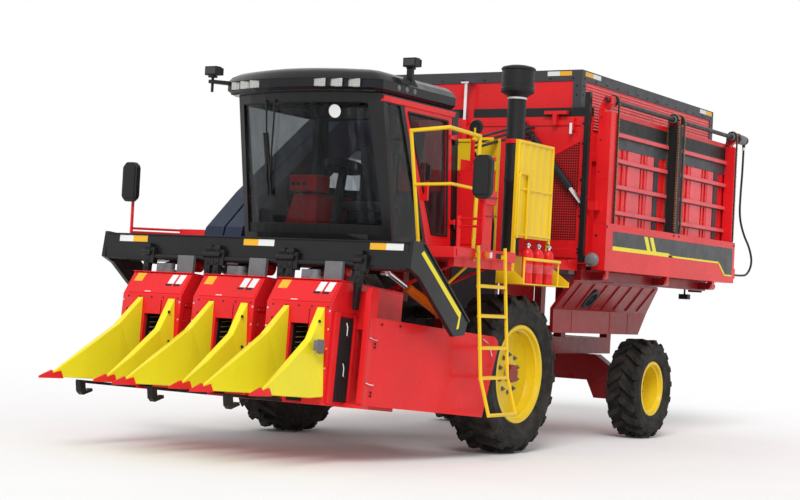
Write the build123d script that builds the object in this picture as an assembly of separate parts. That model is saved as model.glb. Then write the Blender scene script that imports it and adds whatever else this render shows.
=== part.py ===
from build123d import *
import os
from math import cos, pi, radians, sin, tan

os.makedirs("parts", exist_ok=True)

# A three-row cotton picker with its picking header raised for the road.
# Lengths are in mm. The model's working frame has X to the machine's left, Y to its rear,
# Z up, Y = 0 at the front axle and Z = 0 at the ground.

# Driving dimensions: wheels
FRONT_TYRE_R = 800
FRONT_TYRE_W = 490
FRONT_RIM_R = 496
FRONT_RIM_W = 430
FRONT_WHEEL_X = 1300
FRONT_LUGS = 20
FRONT_BORE = 90
FRONT_DISH = 60
REAR_AXLE_Y = 3570
REAR_TYRE_R = 588
REAR_TYRE_W = 380
REAR_RIM_R = 323
REAR_RIM_W = 330
REAR_WHEEL_X = 1257
REAR_LUGS = 18
REAR_BORE = 60
REAR_DISH = -60
KINGPIN_X = 950
KINGPIN_R = 30
LUG_H = 46
FLANGE_T = 14
FLANGE_H = 24

# Driving dimensions: chassis
RAIL_X = 470
RAIL_W = 100
RAIL_Z = 950
RAIL_H = 200
FRAME_FRONT = -760
FRAME_REAR = 4300
HITCH_R = 25
DECK_Z = 1900
DECK_T = 100
DECK_FRONT = -1690
DECK_REAR = -480
SERVICE_REAR = 240
DECK_LEFT = 1660
DECK_RIGHT = -700
SIDE_BEAM_X = 1310
RAIL_R = 19

# Driving dimensions: cab
CAB_MID_X = 260
CAB_HALF_W = 850
CAB_SIDE_FRONT = -1890
CAB_BULGE = 190
CAB_RAKE = -290
CAB_REAR = -700
CAB_REAR_LEAN = -90
CAB_LEAN = 55
CAB_TOP = 3360
CAB_WALL = 45
GLASS_T = 6
ROOF_T = 200
ROOF_FRONT = -2300
ROOF_REAR = -800
ROOF_BOW = 200
DOOR_HINGE_Y = -780
DOOR_GAP = 8

# Driving dimensions: picking header
LIFT_Y = -1250
LIFT_Z = 1380
LIFT_PIN_R = 45
LIFT_EAR_X = 620
LIFT_CYL_X = 900
LIFT_BASE = (-600, 1370)
LIFT_EYE = (-1650, 1753)
HEADER_PITCH = 4.5
UNIT_PITCH = 840
UNIT_W = 700
UNIT_FRONT = -2940
UNIT_REAR = -1780
UNIT_BOTTOM = 400
UNIT_TOP = 1500
HOOD_LEAN = 130
HOOD_LOW = 1280
THROAT_L = -70
THROAT_R = 120
THROAT_TOP = 1230
BEAM_HALF = 1730
BEAM_Y = -2640
BEAM_D = 230
BEAM_Z = 1640
BEAM_H = 240
BEAM_T = 16

# Driving dimensions: cotton bin
BIN_FRONT = 1620
BIN_REAR = 5640
BIN_HALF_W = 1420
BIN_WALL = 50
BIN_FLOOR_Z = 1980
BIN_TOP_Z = 3600
TOP_INSET = 200
TOP_GAP = 20
TOP_SUNK = 120
TOP_RISE = 530
TOP_RIM_H = 125
TOP_WALL = 40
DOOR_DEPTH = 160
DOOR_LOW_Z = 1920
DOOR_HIGH_Z = 3700
DOOR_PANEL_TOP = 2440
HINGE_DROP = 60
DOOR_BASE_DROP = 50
DOOR_EYE_DROP = 980

# Fits
RUN_GAP = 0.05
SEAT_GAP = 0.3

# Sizes that follow from them
FLOOR_Z = DECK_Z + DECK_T
RAIL_TOP = RAIL_Z + RAIL_H
CAB_LEFT = CAB_MID_X + CAB_HALF_W
CAB_RIGHT = CAB_MID_X - CAB_HALF_W
BEAM_TOP = BIN_FLOOR_Z - 60
TOP_HALF_W = BIN_HALF_W - TOP_INSET
TOP_LOW = BIN_TOP_Z - TOP_SUNK
TOP_HIGH = BIN_TOP_Z + TOP_RISE
SIDE_DOOR_IN = BIN_HALF_W + 20
SIDE_DOOR_OUT = SIDE_DOOR_IN + DOOR_DEPTH
SIDE_HINGE_X = SIDE_DOOR_IN + 30
SIDE_HINGE_Z = DOOR_LOW_Z - HINGE_DROP
DOOR_BASE = (550, BIN_TOP_Z - DOOR_BASE_DROP)
DOOR_EYE = (BIN_HALF_W - 50, BIN_TOP_Z - DOOR_EYE_DROP)


def box(x0, x1, y0, y1, z0, z1):
    return Pos((x0 + x1) / 2, (y0 + y1) / 2, (z0 + z1) / 2) * Box(x1 - x0, y1 - y0, z1 - z0)


def side_box(side, x0, x1, *rest):
    """A box between x0 and x1 on the left (side = 1), or mirrored on the right (side = -1)."""
    return box(*sorted((side * x0, side * x1)), *rest)


def both(make):
    """The same piece on the left (side = 1) and right (side = -1)."""
    return [make(1), make(-1)]


def rod(p, q, r, sides=0):
    """A round bar from p to q, or one with so many flat sides."""
    p, q = Vector(*p), Vector(*q)
    along = q - p
    plane = Plane(origin=p, z_dir=along)
    if sides:
        return extrude(plane * RegularPolygon(r, sides), amount=along.length, dir=tuple(along.normalized()))
    return plane * Cylinder(r, along.length, align=(Align.CENTER, Align.CENTER, Align.MIN))


def prism_x(points, x0, x1):
    """Extrude an outline of (y, z) points from x0 to x1."""
    face = make_face(Plane.YZ * Polyline(*points, close=True))
    return extrude(Pos(x0, 0, 0) * face, amount=x1 - x0, dir=(1, 0, 0))


def prism_y(points, y0, y1):
    """Extrude an outline of (x, z) points from y0 to y1."""
    face = make_face(Plane.XZ * Polyline(*points, close=True))
    return extrude(Pos(0, y0, 0) * face, amount=y1 - y0, dir=(0, 1, 0))


def prism_z(points, z0, z1):
    """Extrude an outline of (x, y) points from z0 to z1."""
    face = make_face(Polyline(*points, close=True))
    return extrude(Pos(0, 0, z0) * face, amount=z1 - z0, dir=(0, 0, 1))


def flat_solid(polygons):
    """A closed solid from the corner points of its flat faces."""
    faces = [Face(Wire.make_polygon([Vector(*p) for p in points], close=True)) for points in polygons]
    return Solid(Shell(faces))


def span(a, b, c, d):
    """The face a b c d, cut into two triangles when its corners don't lie in one plane."""
    va, vb, vc, vd = [Vector(*p) for p in (a, b, c, d)]
    normal = (vb - va).cross(vc - va).normalized()
    if abs(normal.dot(vd - va)) < 0.001:
        return [(a, b, c, d)]
    return [(a, b, c), (a, c, d)]


def stacked(rings):
    """A solid through rings that have the same number of points, each ring in a plane of its own."""
    faces = [rings[0], rings[-1]]
    for low, high in zip(rings, rings[1:]):
        for k in range(len(low)):
            j = (k + 1) % len(low)
            faces += span(low[k], low[j], high[j], high[k])
    return flat_solid(faces)


def turned(outline, sides):
    """Turn a closed outline of (x, radius) points about X, with so many flat sides."""
    rings = []
    for n in range(sides):
        a = 2 * pi * n / sides
        rings.append([(x, r * cos(a), r * sin(a)) for x, r in outline])
    faces = []
    for n in range(sides):
        one, two = rings[n], rings[(n + 1) % sides]
        for k in range(len(outline)):
            j = (k + 1) % len(outline)
            faces.append((one[k], one[j], two[j], two[k]))
    return flat_solid(faces)


def rail(points, r, sides=6):
    """A tube rail of flat-sided section along straight runs with mitred corners."""
    pts = [Vector(*p) for p in points]
    runs = [(b - a).normalized() for a, b in zip(pts, pts[1:])]
    start = Plane(origin=pts[0], z_dir=runs[0])
    angles = [2 * pi * k / sides for k in range(sides)]
    rings = [[start.from_local_coords(Vector(r * cos(a), r * sin(a), 0)) for a in angles]]
    for n, point in enumerate(pts[1:]):
        run = runs[n]
        normal = run + runs[n + 1] if n + 1 < len(runs) else run
        rings.append([q + run * ((point - q).dot(normal) / run.dot(normal)) for q in rings[-1]])
    return stacked([[tuple(q) for q in ring] for ring in rings])


NODES = {}


def save(name, *solids):
    """Keep the solids of one node until the whole machine can be centred and written."""
    flat = []
    for item in solids:
        flat += list(item) if isinstance(item, (list, tuple)) else [item]
    NODES[name] = [solid for item in flat for solid in item.solids()]


def fuse(*items):
    """Join touching pieces into as few solids as they make."""
    flat = []
    for item in items:
        flat += list(item) if isinstance(item, (list, tuple)) else [item]
    body = flat[0]
    for item in flat[1:]:
        body = body + item
    return body


def pitched(shape):
    """Turn a piece of the level header up about the lift pivot."""
    return Pos(0, LIFT_Y, LIFT_Z) * (Rot(-HEADER_PITCH, 0, 0) * (Pos(0, -LIFT_Y, -LIFT_Z) * shape))


# Wheels

def tyre(r, width, rim_r, rim_w, lugs, x, y):
    """Tyre skin with two rows of slanted lugs that meet, half a pitch apart, over its middle."""
    half = width / 2
    crown = width * 0.43
    base = r - LUG_H
    pitch = 2 * pi / lugs
    lug_mid, lug_side, slant = 0.30 * pitch, 0.36 * pitch, 0.72 * crown / r
    bead_in = (rim_r - FLANGE_H) / cos(radians(11))
    bead_x = rim_w / 2 - FLANGE_T - SEAT_GAP
    # Sidewall rings from the tread down to the bead: distance from the middle, radius.
    walls = [(crown, base - 14), (half, (base + rim_r) / 2 + 20), (half * 0.93, rim_r + 42),
             (bead_x, rim_r + 6), (bead_x, bead_in)]
    # The first lug's inner corner points straight down, so that the tyre stands on the ground.
    phase = -pi / 2

    def at(h, radius, angle):
        return (h, radius * cos(angle), radius * sin(angle))

    faces = []
    for side in (1, -1):
        first = phase + (0 if side > 0 else pitch / 2)
        for n in range(lugs):
            a0 = first + n * pitch
            a1, a2 = a0 + lug_mid, a0 + pitch
            b0, b1, b2 = a0 + slant, a0 + slant + lug_side, a0 + slant + pitch
            e = side * crown
            low0, low1, top0, top1 = at(0, base, a0), at(0, base, a1), at(0, r, a0), at(0, r, a1)
            out0, out1 = at(e, base - 14, b0), at(e, base - 14, b1)
            tip0, tip1 = at(e, r - 8, b0), at(e, r - 8, b1)
            faces += span(top0, top1, tip1, tip0)
            faces += span(low0, top0, tip0, out0)
            faces += span(low1, top1, tip1, out1)
            faces.append((low0, low1, top1, top0))
            faces.append((out0, out1, tip1, tip0))
            # The gap after this lug, whose inner edge also carries the other side's lug.
            other = a0 + pitch / 2
            inner = [low1, at(0, base, other), at(0, base, other + lug_mid), at(0, base, a2)]
            far = at(e, base - 14, b2)
            for p, q in zip(inner, inner[1:]):
                faces.append((p, q, far))
            faces.append((low1, far, out1))
            for (h0, r0), (h1, r1) in zip(walls, walls[1:]):
                for c, d in ((b0, b1), (b1, b2)):
                    faces.append((at(side * h0, r0, c), at(side * h0, r0, d), at(side * h1, r1, d),
                                  at(side * h1, r1, c)))
    for n in range(lugs):
        a0 = phase + slant + n * pitch
        left = [at(bead_x, bead_in, a) for a in (a0, a0 + lug_side, a0 + pitch)]
        right = [at(-bead_x, bead_in, a + pitch / 2) for a in (a0, a0 + lug_side, a0 + pitch)]
        for k in (0, 1):
            faces += span(left[k], left[k + 1], right[k + 1], right[k])
    return Pos(x, y, r) * flat_solid(faces)


def rim(rim_r, width, bore, x, y, r, dish, side):
    """Rim barrel with flanges and a dished disc, as one turned piece on its bore."""
    h = width / 2
    t = FLANGE_T
    seat = rim_r - FLANGE_H
    well = rim_r - 60
    sides = 24
    hole = bore - 4
    outline = [
        (h, rim_r), (h - t, rim_r), (h - t, seat), (h - 75, well + 16), (-h + 75, well + 16), (-h + t, seat),
        (-h + t, rim_r), (-h, rim_r), (-h, seat - 12), (-h + 70, well), (dish - 14, well), (dish - 14, bore * 2.3),
        (dish - 40, bore * 1.6), (dish - 40, hole), (dish + 30, hole), (dish + 30, bore * 1.7),
        (dish + 14, bore * 2.5), (dish + 14, well), (h - 70, well), (h, seat - 12)]
    wheel = turned([(side * w, radius) for w, radius in outline], sides)
    wheel -= rod((side * (dish - 60), 0, 0), (side * (dish + 50), 0, 0), bore + RUN_GAP)
    return Pos(x, y, r) * wheel


for name, side in (("left", 1), ("right", -1)):
    save(f"front_tyre_{name}", tyre(FRONT_TYRE_R, FRONT_TYRE_W, FRONT_RIM_R, FRONT_RIM_W, FRONT_LUGS,
                                    side * FRONT_WHEEL_X, 0))
    save(f"rear_tyre_{name}", tyre(REAR_TYRE_R, REAR_TYRE_W, REAR_RIM_R, REAR_RIM_W, REAR_LUGS,
                                   side * REAR_WHEEL_X, REAR_AXLE_Y))
    save(f"front_rim_{name}", rim(FRONT_RIM_R, FRONT_RIM_W, FRONT_BORE, side * FRONT_WHEEL_X, 0,
                                  FRONT_TYRE_R, FRONT_DISH, side))
    save(f"rear_rim_{name}", rim(REAR_RIM_R, REAR_RIM_W, REAR_BORE, side * REAR_WHEEL_X, REAR_AXLE_Y,
                                 REAR_TYRE_R, REAR_DISH, side))

# Axles and knuckles

AXLE_END_X = 1030
FORK_X = 1010
KNUCKLE_HALF_H = 110
HUB_SIDES = 20


def front_stub(side):
    """Final drive hub with the spindle that carries the rim."""
    x0 = side * AXLE_END_X
    disc = FRONT_WHEEL_X + FRONT_DISH
    hub = rod((x0, 0, FRONT_TYRE_R), (side * (disc - 60), 0, FRONT_TYRE_R), 190, HUB_SIDES)
    pin = rod((x0, 0, FRONT_TYRE_R), (side * (disc + 90), 0, FRONT_TYRE_R), FRONT_BORE, HUB_SIDES)
    return hub + pin


axle = box(-AXLE_END_X, AXLE_END_X, -130, 130, 660, RAIL_Z)
save("front_axle", axle + front_stub(1) + front_stub(-1))

axle_pts = [(-FORK_X, 745), (-700, RAIL_Z), (700, RAIL_Z), (FORK_X, 745), (FORK_X, 430), (700, 430), (600, 640),
            (-600, 640), (-700, 430), (-FORK_X, 430)]
beam = prism_y(axle_pts, REAR_AXLE_Y - 80, REAR_AXLE_Y + 80)


def fork_gap(side):
    return side_box(side, 860, 1020, REAR_AXLE_Y - 90, REAR_AXLE_Y + 90,
                    REAR_TYRE_R - KNUCKLE_HALF_H - 6, REAR_TYRE_R + KNUCKLE_HALF_H + 6)


def kingpin(side):
    return rod((side * KINGPIN_X, REAR_AXLE_Y, 440), (side * KINGPIN_X, REAR_AXLE_Y, 735), KINGPIN_R)


save("rear_axle", beam - fork_gap(1) - fork_gap(-1) + kingpin(1) + kingpin(-1))


def knuckle(side):
    """Steering knuckle: kingpin sleeve, hub and the spindle of the rear wheel."""
    disc = REAR_WHEEL_X + REAR_DISH
    x0 = side * (KINGPIN_X + 40)
    sleeve = rod((side * KINGPIN_X, REAR_AXLE_Y, REAR_TYRE_R - KNUCKLE_HALF_H),
                 (side * KINGPIN_X, REAR_AXLE_Y, REAR_TYRE_R + KNUCKLE_HALF_H), 70, HUB_SIDES)
    hub = rod((x0, REAR_AXLE_Y, REAR_TYRE_R), (side * (disc - 46), REAR_AXLE_Y, REAR_TYRE_R), 95, HUB_SIDES)
    pin = rod((x0, REAR_AXLE_Y, REAR_TYRE_R), (side * (disc + 60), REAR_AXLE_Y, REAR_TYRE_R), REAR_BORE, HUB_SIDES)
    hole = rod((side * KINGPIN_X, REAR_AXLE_Y, 400), (side * KINGPIN_X, REAR_AXLE_Y, 800), KINGPIN_R + RUN_GAP)
    return sleeve + hub + pin - hole


save("knuckle_left", knuckle(1))
save("knuckle_right", knuckle(-1))

# Frame

RAIL_IN = RAIL_X - RAIL_W / 2
RAIL_OUT = RAIL_X + RAIL_W / 2
HITCH_Z = RAIL_Z + 60
HITCH_Y = FRAME_REAR + 105
side_rails = both(lambda s: box(s * RAIL_X - RAIL_W / 2, s * RAIL_X + RAIL_W / 2, FRAME_FRONT, FRAME_REAR,
                                RAIL_Z, RAIL_TOP))
cross = [box(-RAIL_IN, RAIL_IN, y, y + 120, RAIL_Z, RAIL_TOP) for y in (-400, 1100, 2500, REAR_AXLE_Y - 60)]
tail = box(-RAIL_IN, RAIL_IN, FRAME_REAR - 120, FRAME_REAR, RAIL_Z, RAIL_TOP)
tail += box(-90, 90, FRAME_REAR, FRAME_REAR + 170, HITCH_Z - 20, HITCH_Z + 20)
tail -= rod((0, HITCH_Y, HITCH_Z - 60), (0, HITCH_Y, HITCH_Z + 60), HITCH_R)
save("main_frame", fuse(side_rails, cross, tail))

POSTS = [(-RAIL_X, -700), (RAIL_X, -700), (-RAIL_X, 120), (RAIL_X, 120)]
cab_posts = [box(x - 50, x + 50, y, y + 100, RAIL_TOP, DECK_Z) for x, y in POSTS]
bin_posts = [box(s * RAIL_X - 50, s * RAIL_X + 50, y, y + 120, RAIL_TOP, BEAM_TOP - 120)
             for s in (1, -1) for y in (1500, 2900, FRAME_REAR - 120)]
save("frame_posts", cab_posts, bin_posts)

EAR_W = 40


def lift_bracket(side):
    """Plate from the rail's front end out to the header's lift pivot, with the cylinder's base pin."""
    plate = prism_x([(FRAME_FRONT, RAIL_Z), (FRAME_FRONT + 320, RAIL_Z), (FRAME_FRONT + 320, LIFT_Z + 90),
                     (LIFT_Y - 80, LIFT_Z + 90), (LIFT_Y - 80, LIFT_Z - 70), (FRAME_FRONT - 60, RAIL_Z + 60)],
                    side * LIFT_EAR_X - EAR_W / 2, side * LIFT_EAR_X + EAR_W / 2)
    web = side_box(side, RAIL_OUT, LIFT_EAR_X - EAR_W / 2, FRAME_FRONT, FRAME_FRONT + 120, RAIL_Z, RAIL_TOP)
    pin = rod((side * LIFT_EAR_X, *LIFT_BASE), (side * (LIFT_CYL_X + 50), *LIFT_BASE), 30)
    boss = rod((side * LIFT_EAR_X, *LIFT_BASE), (side * (LIFT_CYL_X - 56), *LIFT_BASE), 60, HUB_SIDES)
    hole = rod((side * (LIFT_EAR_X - 60), LIFT_Y, LIFT_Z), (side * (LIFT_EAR_X + 60), LIFT_Y, LIFT_Z),
               LIFT_PIN_R + RUN_GAP)
    return plate + web + boss + pin - hole


save("lift_brackets", both(lift_bracket))
save("engine_block", box(-RAIL_X - 40, RAIL_X + 40, SERVICE_REAR + 20, 1240, RAIL_TOP, DECK_Z - 20))

# Folded lower body panel under the bin: (x, z) corners of its section, and its side view.
LOWER_SECTION = [(1360, 1795), (1400, 1795), (1400, 1770), (1160, 1470), (1160, 1215), (1120, 1215), (1120, 1485)]
LOWER_VIEW = [(1400, 1200), (3660, 1200), (3890, 1470), (3630, 1810), (1380, 1810)]
LOWER_RIB = [(1350, 1766), (1396, 1766), (1176, 1491), (1130, 1491)]


def lower_side(side):
    skin = prism_y([(side * x, z) for x, z in LOWER_SECTION], 1380, 3900)
    ribs = [prism_y([(side * (x + 18), z) for x, z in LOWER_RIB], y, y + 50) for y in range(1560, 3560, 330)]
    view = prism_x(LOWER_VIEW, *sorted((side * 1000, side * 1500)))
    arms = [side_box(side, RAIL_OUT, 1120, y, y + 80, 1230, 1290) for y in (1520, 3560)]
    return (fuse(skin, ribs) & view) + arms[0] + arms[1]


save("lower_body", both(lower_side))

# Cab

BOW_STEPS = 8


def slope_y(z):
    """How far forward the raked front has moved at height z."""
    return CAB_RAKE * (z - FLOOR_Z) / (CAB_TOP - FLOOR_Z)


def cab_ring(inset, z):
    """Cab plan at height z: straight sides, bowed raked front, leaning back and right wall."""
    rise = (z - FLOOR_Z) / (CAB_TOP - FLOOR_Z)
    x0 = CAB_RIGHT + inset + CAB_LEAN * rise
    x1 = CAB_LEFT - inset
    front = CAB_SIDE_FRONT + inset + slope_y(z)
    rear = CAB_REAR - inset + CAB_REAR_LEAN * rise
    points = [(x1, rear, z), (x0, rear, z)]
    for k in range(BOW_STEPS + 1):
        t = 2 * k / BOW_STEPS - 1
        points.append(((x0 + x1) / 2 + t * (x1 - x0) / 2, front - CAB_BULGE * (1 - t * t), z))
    return points


def cab_block(inset, z0=FLOOR_Z, z1=CAB_TOP):
    return stacked([cab_ring(inset, z0), cab_ring(inset, z1)])


SILL_Z = FLOOR_Z + 70
HEAD_Z = CAB_TOP - 80
POST_W = 70
screen_cut = prism_y([(CAB_RIGHT + POST_W, SILL_Z), (CAB_LEFT - POST_W, SILL_Z), (CAB_LEFT - 2 * POST_W, HEAD_Z),
                      (CAB_RIGHT + POST_W + CAB_LEAN, HEAD_Z)], CAB_SIDE_FRONT - 1000, CAB_SIDE_FRONT + 60)
DOOR_LOW = FLOOR_Z + 20
DOOR_HIGH = CAB_TOP - 40
# Cab door outline, (y, z): rear foot, front foot, front head, rear head.
DOOR_OUTLINE = [(DOOR_HINGE_Y - 40, DOOR_LOW), (DOOR_HINGE_Y - 495, DOOR_LOW), (DOOR_HINGE_Y - 1030, DOOR_HIGH),
                (DOOR_HINGE_Y - 40 + CAB_REAR_LEAN, DOOR_HIGH)]


def shrunk(outline, side_gap, low_gap, high_gap):
    """The door's outline moved in by side_gap at its upright edges and by the others below and above."""
    (rear_low, low), (front_low, _), (front_high, high), (rear_high, _) = outline
    return [(rear_low - side_gap, low + low_gap), (front_low + side_gap, low + low_gap),
            (front_high + side_gap, high - high_gap), (rear_high - side_gap, high - high_gap)]


def wall_cut(points, x, reach=50):
    return prism_x(points, x - reach, x + reach)


door_hole = wall_cut(shrunk(DOOR_OUTLINE, -DOOR_GAP * 1.1, -DOOR_GAP, -DOOR_GAP), CAB_LEFT, CAB_WALL + 20)
front_low, front_high = DOOR_OUTLINE[1][0], DOOR_OUTLINE[2][0]
quarter_cut = wall_cut([(front_low - 75, SILL_Z), (CAB_SIDE_FRONT + 70, SILL_Z),
                        (CAB_SIDE_FRONT + 70 + slope_y(HEAD_Z), HEAD_Z), (front_high - 75 + 16, HEAD_Z)],
                       CAB_LEFT, CAB_WALL + 20)
right_cut = wall_cut([(CAB_REAR - 120, SILL_Z + 100), (CAB_SIDE_FRONT + 90, SILL_Z + 100),
                      (CAB_SIDE_FRONT + 90 + slope_y(HEAD_Z), HEAD_Z), (CAB_REAR - 120 + CAB_REAR_LEAN, HEAD_Z)],
                     CAB_RIGHT, CAB_WALL + CAB_LEAN + 30)
rear_cut = box(CAB_RIGHT + 160, CAB_LEFT - 160, CAB_REAR - 180, CAB_REAR + 60, SILL_Z + 500, HEAD_Z)
shell = cab_block(0) - cab_block(CAB_WALL, FLOOR_Z + 30, CAB_TOP)
cab_frame = shell - screen_cut - door_hole - quarter_cut - right_cut - rear_cut
pane = cab_block(18) - cab_block(18 + GLASS_T)
save("cab_glass", [pane & cut for cut in (screen_cut, quarter_cut, right_cut, rear_cut)])

# Cab roof: overhang inset and height of each ring, from its underside to its crown.
ROOF_RINGS = [(40, 0), (0, 40), (0, ROOF_T * 0.6), (60, ROOF_T * 0.87), (260, ROOF_T)]
ROOF_CORNER = 90


def roof_ring(inset, rise):
    x0, x1 = CAB_RIGHT - 40 + inset, CAB_LEFT + 20 - inset
    rear, front = ROOF_REAR - inset * 0.5, ROOF_FRONT + inset
    z = CAB_TOP + rise
    c = ROOF_CORNER
    points = [(x0, rear - c, z), (x0 + c, rear, z), (x1 - c, rear, z), (x1, rear - c, z), (x1, front + c, z)]
    for k in range(BOW_STEPS + 1):
        t = 1 - 2 * k / BOW_STEPS
        points.append(((x0 + x1) / 2 + t * ((x1 - x0) / 2 - c / 2), front - ROOF_BOW * (1 - t * t), z))
    return points + [(x0, front + c, z)]


roof = stacked([roof_ring(inset, rise) for inset, rise in ROOF_RINGS])
LAMP_X = [CAB_MID_X + dx for dx in (-690, -550, -410, 330, 490, 650)]
LAMP_Z = CAB_TOP + 80
LAMP_W = 100
LAMP_H = 66
lamps = []
for x in LAMP_X:
    t = (x - CAB_MID_X) / (CAB_HALF_W - 15)
    front = ROOF_FRONT - ROOF_BOW * (1 - t * t)
    roof -= box(x - LAMP_W / 2 - 6, x + LAMP_W / 2 + 6, front - 60, front + 70, LAMP_Z - 40, LAMP_Z + 40)
    lamps.append(box(x - LAMP_W / 2, x + LAMP_W / 2, front + 30, front + 70, LAMP_Z - LAMP_H / 2, LAMP_Z + LAMP_H / 2))
save("cab_roof", roof)
save("roof_lamps", lamps)

seat = (box(CAB_MID_X - 240, CAB_MID_X + 240, -1230, -780, FLOOR_Z + 320, FLOOR_Z + 440)
        + box(CAB_MID_X - 220, CAB_MID_X + 220, -910, -820, FLOOR_Z + 430, FLOOR_Z + 1020)
        + box(CAB_MID_X - 160, CAB_MID_X + 160, -1160, -840, FLOOR_Z + 30, FLOOR_Z + 330))
save("seat", seat)
COLUMN_FOOT = (-1640, FLOOR_Z + 30)
COLUMN_TOP = (-1490, FLOOR_Z + 740)
STEER_R = 190


def steering_wheel():
    """Rim of flat-sided section on a disc, square to the column."""
    (y0, z0), (y1, z1) = COLUMN_FOOT, COLUMN_TOP
    plane = Plane(origin=(CAB_MID_X, y1, z1), z_dir=(0, y1 - y0, z1 - z0))
    ring = extrude(plane * RegularPolygon(STEER_R, 16), amount=26, both=True)
    ring -= extrude(plane * RegularPolygon(STEER_R - 28, 16), amount=30, both=True)
    spokes = extrude(plane * Rectangle(2 * STEER_R - 30, 46), amount=8, both=True)
    return ring + spokes


column = bar_foot = rod((CAB_MID_X, *COLUMN_FOOT), (CAB_MID_X, *COLUMN_TOP), 45, 8)
column = column + steering_wheel() - box(CAB_MID_X - 200, CAB_MID_X + 200, -1900, -1300, FLOOR_Z - 100, FLOOR_Z + 30)
console = box(CAB_MID_X - 560, CAB_MID_X - 300, -1380, -840, FLOOR_Z + 30, FLOOR_Z + 560)
save("cab_controls", column, console)

# Cab door, on two hinges along the leaning rear post

DOOR_AXIS_X = CAB_LEFT + 18
HINGE_LINE = Plane(origin=(DOOR_AXIS_X, DOOR_HINGE_Y, FLOOR_Z), x_dir=(1, 0, 0),
                   z_dir=(0, CAB_REAR_LEAN, CAB_TOP - FLOOR_Z))
DOOR_HINGE_Z = (220, 1050)
WINDOW = shrunk(DOOR_OUTLINE, 85, 110, 80)
door = prism_x(DOOR_OUTLINE, CAB_LEFT - CAB_WALL, CAB_LEFT)
door -= wall_cut(WINDOW, CAB_LEFT, CAB_WALL + 10)
for z in DOOR_HINGE_Z:
    ear = rod((0, 0, z + 25), (0, 0, z + 75), 14) + box(-18, 4, -100, 0, z + 30, z + 70)
    ear -= rod((0, 0, z), (0, 0, z + 100), 7 + RUN_GAP)
    door += HINGE_LINE * ear
door += box(CAB_LEFT, CAB_LEFT + 45, DOOR_HINGE_Y - 600, DOOR_HINGE_Y - 570, DOOR_LOW + 420, DOOR_LOW + 600)
save("cab_door", door)
save("cab_door_glass", prism_x(WINDOW, CAB_LEFT - 24, CAB_LEFT - 24 + GLASS_T))


def frame_hinge(z):
    """The cab's half of one door hinge, with its pin."""
    leaf = box(-18, -12, 16, 80, z - 20, z + 20) + box(-18, 4, 0, 40, z - 20, z + 18)
    leaf += rod((0, 0, z - 25), (0, 0, z + 19), 14)
    return HINGE_LINE * (leaf + rod((0, 0, z - 25), (0, 0, z + 90), 7))


save("cab_shell", fuse(cab_frame, [frame_hinge(z) for z in DOOR_HINGE_Z]))

# Deck under the cab and along the service side

cab_floor = stacked([[(x, y, z) for x, y, _ in cab_ring(0, FLOOR_Z)] for z in (DECK_Z + 30, FLOOR_Z)])
deck = box(DECK_RIGHT, DECK_LEFT, DECK_FRONT, DECK_REAR, DECK_Z, FLOOR_Z)
deck_ribs = [box(x, x + 60, DECK_FRONT + 80, DECK_REAR, DECK_Z - 80, DECK_Z) for x in (-640, 560, 1560)]
service = box(DECK_RIGHT, SIDE_BEAM_X, DECK_REAR, SERVICE_REAR, DECK_Z, FLOOR_Z)
side_beams = [box(x - 60, x, SERVICE_REAR, BIN_FRONT, DECK_Z, FLOOR_Z) for x in (SIDE_BEAM_X, DECK_RIGHT + 60)]
save("deck", fuse(deck, cab_floor, deck_ribs, service, side_beams))

# Handrail round the walkway: a post at the deck's front, over the door and down at the ladder
POST_X = 1250
LADDER_FRONT = -1290
LADDER_REAR = -760
RAIL_HIGH = 3050
top_rail = rail([(POST_X, DECK_FRONT + 30, FLOOR_Z), (POST_X, DECK_FRONT + 30, FLOOR_Z + 60), (POST_X, -1880, RAIL_HIGH), (1650, -1860, RAIL_HIGH + 30),
                 (1650, LADDER_FRONT, RAIL_HIGH + 10), (1635, LADDER_FRONT, FLOOR_Z + 60),
                 (1635, LADDER_FRONT, FLOOR_Z)], RAIL_R)
mid_rail = rail([(POST_X, -1777, 2560), (1645, -1770, 2570), (1643, LADDER_FRONT, 2560)], 15)
save("handrail", top_rail + mid_rail)

# Ladder: (x, z) of its stiles from the deck edge down to the foot
STILE = [(1690, FLOOR_Z + 30), (1715, 1650), (1785, 790), (1890, 450)]
# Rungs: x, z.
RUNGS = [(1715, 1650), (1738, 1370), (1762, 1070), (1785, 790)]
ladder = rail([(x, LADDER_FRONT, z) for x, z in STILE] + [(x, LADDER_REAR, z) for x, z in reversed(STILE)], RAIL_R)
for x, z in RUNGS:
    ladder += box(x - 24, x + 16, LADDER_FRONT, LADDER_REAR, z - 14, z + 14)
for y in (LADDER_FRONT - 10, LADDER_REAR - 30):
    ladder += box(DECK_LEFT, 1700, y, y + 40, DECK_Z + 20, DECK_Z + 60)
save("ladder", ladder)

# Header, built level and then turned up about its lift pivot

ARM_X = 690
ARM_T = 50
END_T = 45


def header_beam():
    body = box(-BEAM_HALF, BEAM_HALF, BEAM_Y, BEAM_Y + BEAM_D, BEAM_Z, BEAM_Z + BEAM_H)
    return body - box(-BEAM_HALF - 5, BEAM_HALF + 5, BEAM_Y + BEAM_T, BEAM_Y + BEAM_D - BEAM_T, BEAM_Z + BEAM_T,
                      BEAM_Z + BEAM_H - BEAM_T)


def lift_arm(side):
    """Arm from the pivot pin to the beam, with its pivot pin."""
    back = BEAM_Y + BEAM_D
    plate = prism_x([(LIFT_Y + 90, LIFT_Z - 60), (LIFT_Y + 90, LIFT_Z + 80), (LIFT_Y - 450, LIFT_Z + 400),
                     (back, BEAM_Z + BEAM_H - 60), (back, BEAM_Z), (UNIT_REAR + 40, UNIT_TOP + 30),
                     (LIFT_Y - 120, LIFT_Z - 80)], side * ARM_X - ARM_T / 2, side * ARM_X + ARM_T / 2)
    return plate + rod((side * (LIFT_EAR_X - 40), LIFT_Y, LIFT_Z), (side * ARM_X, LIFT_Y, LIFT_Z), LIFT_PIN_R)


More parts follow.
